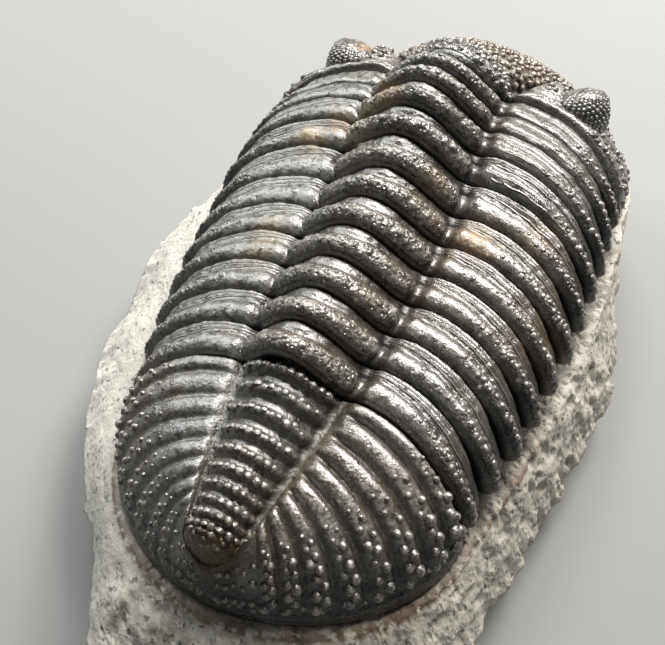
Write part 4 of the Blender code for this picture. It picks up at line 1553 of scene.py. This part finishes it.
class Bead(Enum):
    """The shapes that are repeated: (radius, height) up the profile, for a base 1 mm across."""

    KNOB = ((0.66, -0.14), (0.58, -0.04), (0.48, 0.05), (0.36, 0.15), (0.22, 0.22), (0.10, 0.25),
            (0, 0.255))
    TUBERCLE = ((0.60, -0.16), (0.545, 0.0), (0.46, 0.14), (0.34, 0.28), (0.20, 0.37), (0.08, 0.405),
                (0, 0.41))
    PEARL = ((0.48, -0.18), (0.50, 0.02), (0.46, 0.18), (0.36, 0.33), (0.21, 0.43), (0.08, 0.47),
             (0, 0.475))
    GRANULE = ((0.62, -0.12), (0.54, -0.03), (0.40, 0.05), (0.24, 0.105), (0.10, 0.13), (0, 0.135))
    LENS = ((0.50, -0.14), (0.49, 0.0), (0.42, 0.14), (0.28, 0.24), (0.13, 0.285), (0, 0.29))

    def build(self, around: int = 9) -> bpy.types.Object:
        """Make the template object of one bead, closed below.

        Args:
            around: corners of each ring.

        Returns:
            The template, which goes when all has grown.
        """
        turn = np.arange(around) / around * 2 * math.pi
        mesh = bpy.data.meshes.new(self.name.lower())
        rings = [[(r * math.cos(a), r * math.sin(a), z) for a in turn] for r, z in self.value[:-1]]
        points = [point for ring in rings for point in ring] + [(0, 0, self.value[-1][1])]
        faces = []
        for ring in range(len(rings) - 1):
            for i in range(around):
                j, low, high = (i + 1) % around, ring * around, (ring + 1) * around
                faces.append((low + i, low + j, high + j, high + i))
        last = (len(rings) - 1) * around
        faces += [(last + i, last + (i + 1) % around, len(points) - 1) for i in range(around)]
        faces.append(tuple(reversed(range(around))))
        mesh.from_pydata((np.array(points) * MM).tolist(), [], faces)
        # height mark for the finish: the top of each bead takes the painted crest highlight, and none takes
        # the painted shade
        layer = mesh.attributes.new("height", "FLOAT", "POINT")
        top = self.value[-1][1]
        layer.data.foreach_set("value", [0.55 + 0.45 * max(p[2], 0) / top for p in points])
        made = bpy.data.objects.new("bead_" + self.name.lower(), mesh)
        bpy.context.scene.collection.objects.link(made)
        return made


@dataclass(frozen=True)
class FossilFinish:
    """Dark, hard, polished shell with painted shade in its hollows and on its outer parts, a painted
    highlight on its crests, and a few stains.
    """

    name: str
    dark: tuple = (0.011, 0.0095, 0.0080, 1)
    light: tuple = (0.090, 0.083, 0.073, 1)
    brown: tuple = (0.060, 0.040, 0.026, 1)
    # crest: light colour of the painted highlight on crests and fine ridges, and of the random specks
    crest: tuple = (0.310, 0.285, 0.245, 1)
    # painted shade: near-black colour for the hollows and for the parts that turn away from the lights
    dirt: tuple = (0.0030, 0.0027, 0.0025, 1)
    ochre: tuple = (0.220, 0.120, 0.030, 1)
    residue: tuple = (0.460, 0.420, 0.260, 1)
    # lighter grey-green of the worn parts, and painted sheen where the lights fall on them
    weathered: tuple = (0.135, 0.147, 0.134, 1)
    gloss: float = 0.20
    specular: float = 1.0
    density: float = 1.62
    relief: float = 0.00028

    def build(self, group: bpy.types.NodeTree) -> bpy.types.Material:
        """Make the material from the shared surface group.

        Args:
            group: the shared surface group.

        Returns:
            The material.
        """
        material = bpy.data.materials.new(self.name)
        material.use_nodes = True
        graph = Graph(material.node_tree)
        wires = {"Dark": self.dark, "Light": self.light, "Brown": self.brown, "Crest": self.crest,
                 "Dirt": self.dirt, "Ochre": self.ochre, "Residue": self.residue,
                 "Weathered": self.weathered, "Gloss": self.gloss}
        surface = graph.node("ShaderNodeGroup", node_tree=group)
        for name, value in wires.items():
            surface.inputs[name].default_value = value
        bump = graph.node("ShaderNodeBump", {"Height": surface.outputs["Height"], "Distance": self.relief,
                                             "Strength": 1.0})
        shader = material.node_tree.nodes["Principled BSDF"]
        shader.inputs["Specular IOR Level"].default_value = self.specular
        shader.inputs["IOR"].default_value = self.density
        for name, socket in (("Base Color", surface.outputs["Color"]), ("Normal", bump.outputs[0]),
                             ("Roughness", surface.outputs["Roughness"]),
                             ("Metallic", surface.outputs["Metallic"])):
            material.node_tree.links.new(socket, shader.inputs[name])
        return material

    @staticmethod
    def surface_group() -> bpy.types.NodeTree:
        """Build the shared group: colour with its painted shade and painted highlight, roughness, fine relief
        and metallic of the fossil's shell.

        Returns:
            The group, which puts out only what varies over the shell.
        """
        colours = [(name, "NodeSocketColor")
                   for name in ("Dark", "Light", "Brown", "Crest", "Dirt", "Ochre", "Residue", "Weathered")]
        outputs = [("Color", "NodeSocketColor"), ("Roughness", "NodeSocketFloat"),
                   ("Height", "NodeSocketFloat"), ("Metallic", "NodeSocketFloat")]
        inputs = [*colours, ("Gloss", "NodeSocketFloat", 0.3)]
        graph = new_tree("ShaderNodeTree", "Fossil shell", inputs, outputs)
        given = graph.node("NodeGroupInput").outputs
        place = graph.node("ShaderNodeTexCoord").outputs["Object"]
        at = graph.node("ShaderNodeVectorMath", {0: place, "Scale": METRE}, operation="SCALE").outputs[0]
        height, grain = graph.attribute("height"), graph.attribute("grain")
        broad = graph.ramp(graph.noise(at, 0.13, 5.0, 0.6), 0.32, 0.70)
        fine = graph.noise(at, 1.1, 6.0, 0.65)
        patch = graph.ramp(graph.noise(at, 0.45, 5.0, 0.65), 0.38, 0.66)
        shade = graph.math("ADD", graph.math("MULTIPLY", broad, 0.45), graph.math("MULTIPLY", patch, 0.55))
        colour = graph.blend(shade, given["Dark"], given["Light"])
        warm = graph.ramp(graph.noise(at, 0.075, 4.0, 0.6), 0.40, 0.62)
        colour = graph.blend(graph.math("MULTIPLY", warm, 0.50), colour, given["Brown"])
        # wear and painted sheen: the marked parts turn lighter grey-green
        dull = graph.math("MULTIPLY", graph.attribute("dull"), graph.ramp(fine, 0.38, 0.60, 0.1, 1.0))
        colour = graph.blend(graph.math("MULTIPLY", dull, 0.85), colour, given["Weathered"])
        # painted highlight: the high places lighten towards the crest colour
        wear_and_crest_highlight = graph.math("MULTIPLY", graph.ramp(height, 0.62, 1.0), graph.ramp(fine, 0.40, 0.70))
        colour = graph.blend(graph.math("MULTIPLY", wear_and_crest_highlight, 0.75), colour, given["Crest"])
        # painted shade: the low places, the hollows and the creases between parts, turn near-black
        low = graph.ramp(graph.math("ADD", height, graph.math("MULTIPLY", fine, 0.25)), 0.22, 0.58, 1.0, 0.0)
        colour = graph.blend(graph.math("MULTIPLY", low, 0.9), colour, given["Dirt"])
        # painted shade: darker still where the dark mark says
        dark = graph.attribute("dark")
        colour = graph.blend(graph.math("MULTIPLY", dark, 0.85), colour, given["Dirt"])
        specks = graph.ramp(graph.cells(at, 1.35), 0.0, 0.20, 1.0, 0.0)
        specks = graph.math("MULTIPLY", specks, graph.ramp(graph.noise(at, 0.5, 3.0), 0.50, 0.66))
        colour = graph.blend(graph.math("MULTIPLY", specks, 0.5), colour, given["Crest"])
        rust = graph.math("MULTIPLY", graph.attribute("ochre"),
                          graph.ramp(graph.noise(at, 0.9, 5.0, 0.6), 0.30, 0.52))
        colour = graph.blend(graph.math("MULTIPLY", rust, 0.85), colour, given["Ochre"])
        left = graph.math("MULTIPLY", graph.attribute("pale"),
                          graph.ramp(graph.noise(at, 1.3, 5.0, 0.6), 0.34, 0.62))
        colour = graph.blend(graph.math("MULTIPLY", left, 0.85), colour, given["Residue"])
        rough = graph.math("ADD", given["Gloss"], graph.math("MULTIPLY", graph.ramp(fine, 0.35, 0.75), 0.24))
        rough = graph.math("ADD", rough, graph.math("MULTIPLY", low, 0.25))
        rough = graph.math("ADD", rough, graph.math("MULTIPLY", dull, 0.16))
        stain = graph.math("MULTIPLY", graph.math("ADD", rust, left), 0.22)
        rough = graph.math("ADD", rough, stain, clamp=True)
        pits = graph.ramp(graph.cells(at, 1.3), 0.05, 0.42)
        lumps = graph.noise(at, 1.0, 3.0, 0.5)
        relief = graph.math("ADD", graph.math("MULTIPLY", pits, 0.55), graph.math("MULTIPLY", lumps, 1.6))
        relief = graph.math("MULTIPLY", relief, graph.math("ADD", graph.math("MULTIPLY", grain, 0.85), 0.15))
        relief = graph.math("ADD", relief, graph.math("MULTIPLY", graph.noise(at, 3.2, 4.0, 0.6), 0.35))
        swayed = graph.math("ADD", graph.attribute("line"),
                            graph.math("MULTIPLY", graph.noise(at, 0.22, 2.0), 0.9))
        turn = graph.math("SINE", graph.math("MULTIPLY", swayed, 2 * math.pi))
        ridge = graph.math("MULTIPLY", graph.ramp(turn, 0.15, 1.0), graph.attribute("leaf"))
        relief = graph.math("ADD", relief, graph.math("MULTIPLY", ridge, 2.0))
        # painted highlight on the ridges of the fine lines
        colour = graph.blend(graph.math("MULTIPLY", ridge, 0.35), colour, given["Crest"])
        # metallic is raised under the painted shade, so that its reflections darken too
        metal = graph.math("MULTIPLY", graph.math("MAXIMUM", dark, low), 0.65)
        metal = graph.math("MULTIPLY", metal, graph.math("SUBTRACT", 1.0, left))
        graph.node("NodeGroupOutput", {0: colour, 1: rough, 2: relief, 3: metal})
        return graph.tree


@dataclass(frozen=True)
class RockFinish:
    """Pale, dull limestone with dark flecks, worked with fine tools."""

    name: str = "limestone"
    pale: tuple = (0.440, 0.412, 0.360, 1)
    grey: tuple = (0.270, 0.252, 0.222, 1)
    # bright: colour of the whiter patches, and of the painted light on the left shelf
    bright: tuple = (0.490, 0.474, 0.435, 1)
    fleck: tuple = (0.055, 0.055, 0.060, 1)
    brown: tuple = (0.090, 0.055, 0.030, 1)

    def build(self) -> bpy.types.Material:
        """Make the material.

        Returns:
            The material.
        """
        material = bpy.data.materials.new(self.name)
        material.use_nodes = True
        graph = Graph(material.node_tree)
        place = graph.node("ShaderNodeTexCoord").outputs["Object"]
        at = graph.node("ShaderNodeVectorMath", {0: place, "Scale": METRE}, operation="SCALE").outputs[0]
        broad = graph.ramp(graph.noise(at, 0.09, 5.0, 0.6), 0.30, 0.70)
        colour = graph.blend(graph.math("ADD", graph.math("MULTIPLY", broad, 0.6), 0.4), self.grey, self.pale)
        # painted light: the left shelf is brighter, where the lights fall on it
        colour = graph.blend(graph.math("MULTIPLY", graph.attribute("left"), 0.8), colour, self.bright)
        powder = graph.ramp(graph.noise(at, 0.8, 6.0, 0.7), 0.45, 0.68)
        colour = graph.blend(graph.math("MULTIPLY", powder, 0.5), colour, self.bright)
        streaks = graph.noise(graph.stretched(at, (0.75, 0.36, 0.5), (0.2, 0.1, -0.55)), 1.0, 3.0, 0.55)
        marks = graph.ramp(streaks, 0.62, 0.645)
        faint = graph.ramp(graph.attribute("left"), 0.0, 1.0, 0.28, 0.10)
        colour = graph.blend(graph.math("MULTIPLY", marks, faint), colour, self.fleck)
        spots = graph.ramp(graph.noise(at, 1.0, 3.0, 0.5), 0.62, 0.65)
        colour = graph.blend(graph.math("MULTIPLY", spots, 0.7), colour, self.fleck)
        stain = graph.math("MULTIPLY", graph.attribute("brown"),
                           graph.ramp(graph.noise(at, 0.6, 5.0, 0.6), 0.38, 0.52))
        colour = graph.blend(graph.math("MULTIPLY", stain, 0.9), colour, self.brown)
        scratch = graph.cells(graph.stretched(at, (1.0, 0.42, 0.6), (0.2, 0.1, -0.9)), 1.0)
        scored = graph.ramp(graph.attribute("left"), 0.0, 1.0, 0.6, 0.15)
        relief = graph.math("ADD", graph.math("MULTIPLY", graph.ramp(scratch, 0.05, 0.5), scored),
                            graph.math("MULTIPLY", graph.noise(at, 1.2, 6.0, 0.6), 1.0))
        relief = graph.math("SUBTRACT", relief, graph.math("MULTIPLY", marks, 0.5))
        bump = graph.node("ShaderNodeBump", {"Height": relief, "Distance": 0.00025, "Strength": 1.0})
        shader = material.node_tree.nodes["Principled BSDF"]
        shader.inputs["Roughness"].default_value = 0.86
        shader.inputs["Specular IOR Level"].default_value = 0.3
        material.node_tree.links.new(colour, shader.inputs["Base Color"])
        material.node_tree.links.new(bump.outputs[0], shader.inputs["Normal"])
        return material


@dataclass
class Studio:
    """The camera of the photograph, a plain pale floor and soft lights."""

    placement: Placement
    camera_at: tuple = (42.3, -73.0, 103.5)
    right: tuple = (0.8985, 0.4195, -0.1291)
    up: tuple = (-0.2901, 0.7884, 0.5424)
    back: tuple = (0.3293, -0.4499, 0.8301)
    lens: float = 48.72

    def camera(self) -> None:
        """Set the camera."""
        data = bpy.data.cameras.new("camera")
        data.lens, data.sensor_width = self.lens, 36.0
        data.clip_start, data.clip_end = 0.01, 20.0
        view = bpy.data.objects.new("camera", data)
        turn = Matrix((self.right, self.up, self.back)).transposed().to_4x4()
        place = self.placement.metres(np.array(self.camera_at, dtype=float))
        view.matrix_world = Matrix.Translation(Vector(place)) @ turn
        bpy.context.scene.collection.objects.link(view)
        bpy.context.scene.camera = view

    def light(self, name: str, at: tuple, size: float, power: float, colour: tuple = (1, 1, 1)) -> None:
        """Add a square soft light aimed at the fossil's middle.

        Args:
            name: the light's name.
            at: its place, in metres.
            size: its side, in metres.
            power: its power, in watts.
            colour: its colour.
        """
        data = bpy.data.lights.new(name, "AREA")
        data.shape, data.size, data.energy, data.color = "SQUARE", size, power, colour
        lamp = bpy.data.objects.new(name, data)
        lamp.location = at
        lamp.rotation_euler = (Vector(at) - Vector((0, 0, 0.03))).to_track_quat("Z", "Y").to_euler()
        bpy.context.scene.collection.objects.link(lamp)

    def build(self) -> bpy.types.Object:
        """Set the stage and return the floor.

        Returns:
            The floor.
        """
        self.camera()
        self.light("key", (0.13, 0.38, 0.42), 0.27, 7.6, (1.0, 0.98, 0.95))
        self.light("top", (-0.14, 0.34, 0.46), 0.15, 2.2, (1.0, 0.98, 0.95))
        self.light("rear", (0.24, -0.34, 0.44), 0.05, 0.35)
        self.light("left", (-0.44, 0.20, 0.34), 0.24, 2.1, (0.94, 0.99, 1.0))
        world = bpy.data.worlds.new("studio")
        world.use_nodes = True
        graph = Graph(world.node_tree)
        seen = graph.node("ShaderNodeLightPath").outputs["Is Camera Ray"]
        background = world.node_tree.nodes["Background"]
        background.inputs[0].default_value = (0.95, 0.97, 1.0, 1)
        world.node_tree.links.new(graph.ramp(seen, 0.0, 1.0, 0.07, 0.68), background.inputs[1])
        bpy.context.scene.world = world
        bpy.context.scene.view_settings.view_transform = "Standard"
        mesh = bpy.data.meshes.new("floor")
        far = 3.0
        corners = [(-far, -far, 0), (far, -far, 0), (far, far, 0), (-far, far, 0)]
        mesh.from_pydata(corners, [], [(0, 1, 2, 3)])
        floor = bpy.data.objects.new("floor", mesh)
        material = bpy.data.materials.new("pale_floor")
        material.use_nodes = True
        graph = Graph(material.node_tree)
        shader = material.node_tree.nodes["Principled BSDF"]
        shader.inputs["Base Color"].default_value = (0.225, 0.225, 0.221, 1)
        shader.inputs["Roughness"].default_value = 0.8
        place = graph.node("ShaderNodeTexCoord").outputs["Object"]
        away = graph.node("ShaderNodeVectorMath", {0: place}, operation="LENGTH").outputs["Value"]
        seen = graph.node("ShaderNodeLightPath").outputs["Is Camera Ray"]
        # painted light: the floor glows for the camera, more the farther it lies, fading into the backdrop
        far_off = graph.math("MULTIPLY", graph.ramp(away, 0.27, 0.95, 0.0, 0.66), seen)
        shader.inputs["Emission Color"].default_value = (0.95, 0.97, 1.0, 1)
        material.node_tree.links.new(far_off, shader.inputs["Emission Strength"])
        mesh.materials.append(material)
        bpy.context.scene.collection.objects.link(floor)
        return floor


@dataclass
class Workshop:
    """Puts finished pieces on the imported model, and reports and counts each one."""

    triangles: int = 0

    def settle(self, piece: bpy.types.Object, node: str, material: bpy.types.Material | None = None) -> None:
        """Dress a piece, tie it to the body and let it stand for its node.

        Args:
            piece: the finished piece.
            node: the node that it stands for.
            material: its finish, where it holds none yet.
        """
        if material is not None:
            piece.data.materials.clear()
            piece.data.materials.append(material)
        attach(piece, "root")
        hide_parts(node)
        faces = sum(len(face.vertices) - 2 for face in piece.data.polygons)
        self.triangles += faces
        LOG.info("%s: %d triangles for %s", piece.name, faces, node)


def main() -> None:
    """Build the animal, the rock and the stage in order."""
    logging.basicConfig(level=logging.INFO, format="%(name)s: %(message)s", stream=sys.stdout)
    plan = BodyPlan()
    placement = Placement(plan)
    trees = GrowthTrees()
    shell = FossilFinish("polished_shell").build(FossilFinish.surface_group())
    rock = RockFinish().build()
    shop = Workshop()
    beads = {kind: kind.build() for kind in Bead}
    for number in range(1, plan.segments + 1):
        node = f"thoracic_segment_{number:02d}"
        segment = ThoracicSegment(plan, number)
        body = segment.build(placement)
        shop.settle(body, node, shell)
        dots = segment.tubercles().make(f"segment_{number:02d}_dots", placement)
        shop.settle(grown(f"segment_{number:02d}_tubercles", dots, trees.rows,
                          Bead=beads[Bead.KNOB], Material=shell), node)
        shop.settle(grown(f"segment_{number:02d}_granules", body, trees.scatter, Bead=beads[Bead.GRANULE],
                          Spacing=0.00135, Smallest=0.5, Largest=1.2, Seed=number, Density_Mark="grain",
                          Material=shell), node)
    tail = TailShield(plan)
    shop.settle(tail.build(placement), "pygidium", shell)
    for name, dots, kind in (("tail_ring_knobs", tail.knobs(), Bead.KNOB),
                             ("tail_rib_tubercles", tail.tubercles(), Bead.TUBERCLE)):
        places = dots.make(name + "_places", placement)
        shop.settle(grown(name, places, trees.rows, Bead=beads[kind], Material=shell), "pygidium")
    head = HeadShield(plan)
    body = head.build(placement)
    shop.settle(body, "cephalon", shell)
    shop.settle(grown("head_tubercles", body, trees.scatter, Bead=beads[Bead.TUBERCLE],
                      Spacing=0.00104, Smallest=0.7, Largest=1.3, Seed=5,
                      Density_Mark="bead_density", Material=shell), "cephalon")
    shop.settle(grown("glabella_tubercles", body, trees.scatter, Bead=beads[Bead.PEARL],
                      Spacing=0.00122, Smallest=1.05, Largest=1.4, Seed=6,
                      Density_Mark="pearl_density", Material=shell), "cephalon")
    for side in Side:
        eye = CompoundEye(head, side)
        body = eye.build(placement)
        shop.settle(body, "cephalon", shell)
        dots = eye.lenses().make("lens_dots", placement)
        shop.settle(grown(f"eye_lenses_{side.name.lower()}", dots, trees.rows, Bead=beads[Bead.LENS],
                          Material=shell), "cephalon")
        shop.settle(grown(f"eyelid_tubercles_{side.name.lower()}", body, trees.scatter,
                          Bead=beads[Bead.GRANULE], Spacing=0.0010, Smallest=0.6, Largest=1.0, Seed=9,
                          Density_Mark="bead_density", Material=shell), "cephalon")
    block = RockBlock(plan, head, tail).build(placement)
    shop.settle(grown("limestone", block, trees.rock, Chip_Depth=0.55, Grain_Depth=0.35, Chisel_Depth=0.6,
                      Material=rock), "matrix")
    bpy.data.objects.remove(block, do_unlink=True)
    for bead in beads.values():
        bpy.data.objects.remove(bead, do_unlink=True)
    LOG.info("%d triangles in all", shop.triangles)
    Studio(placement).build()


if __name__ == "__main__":
    main()
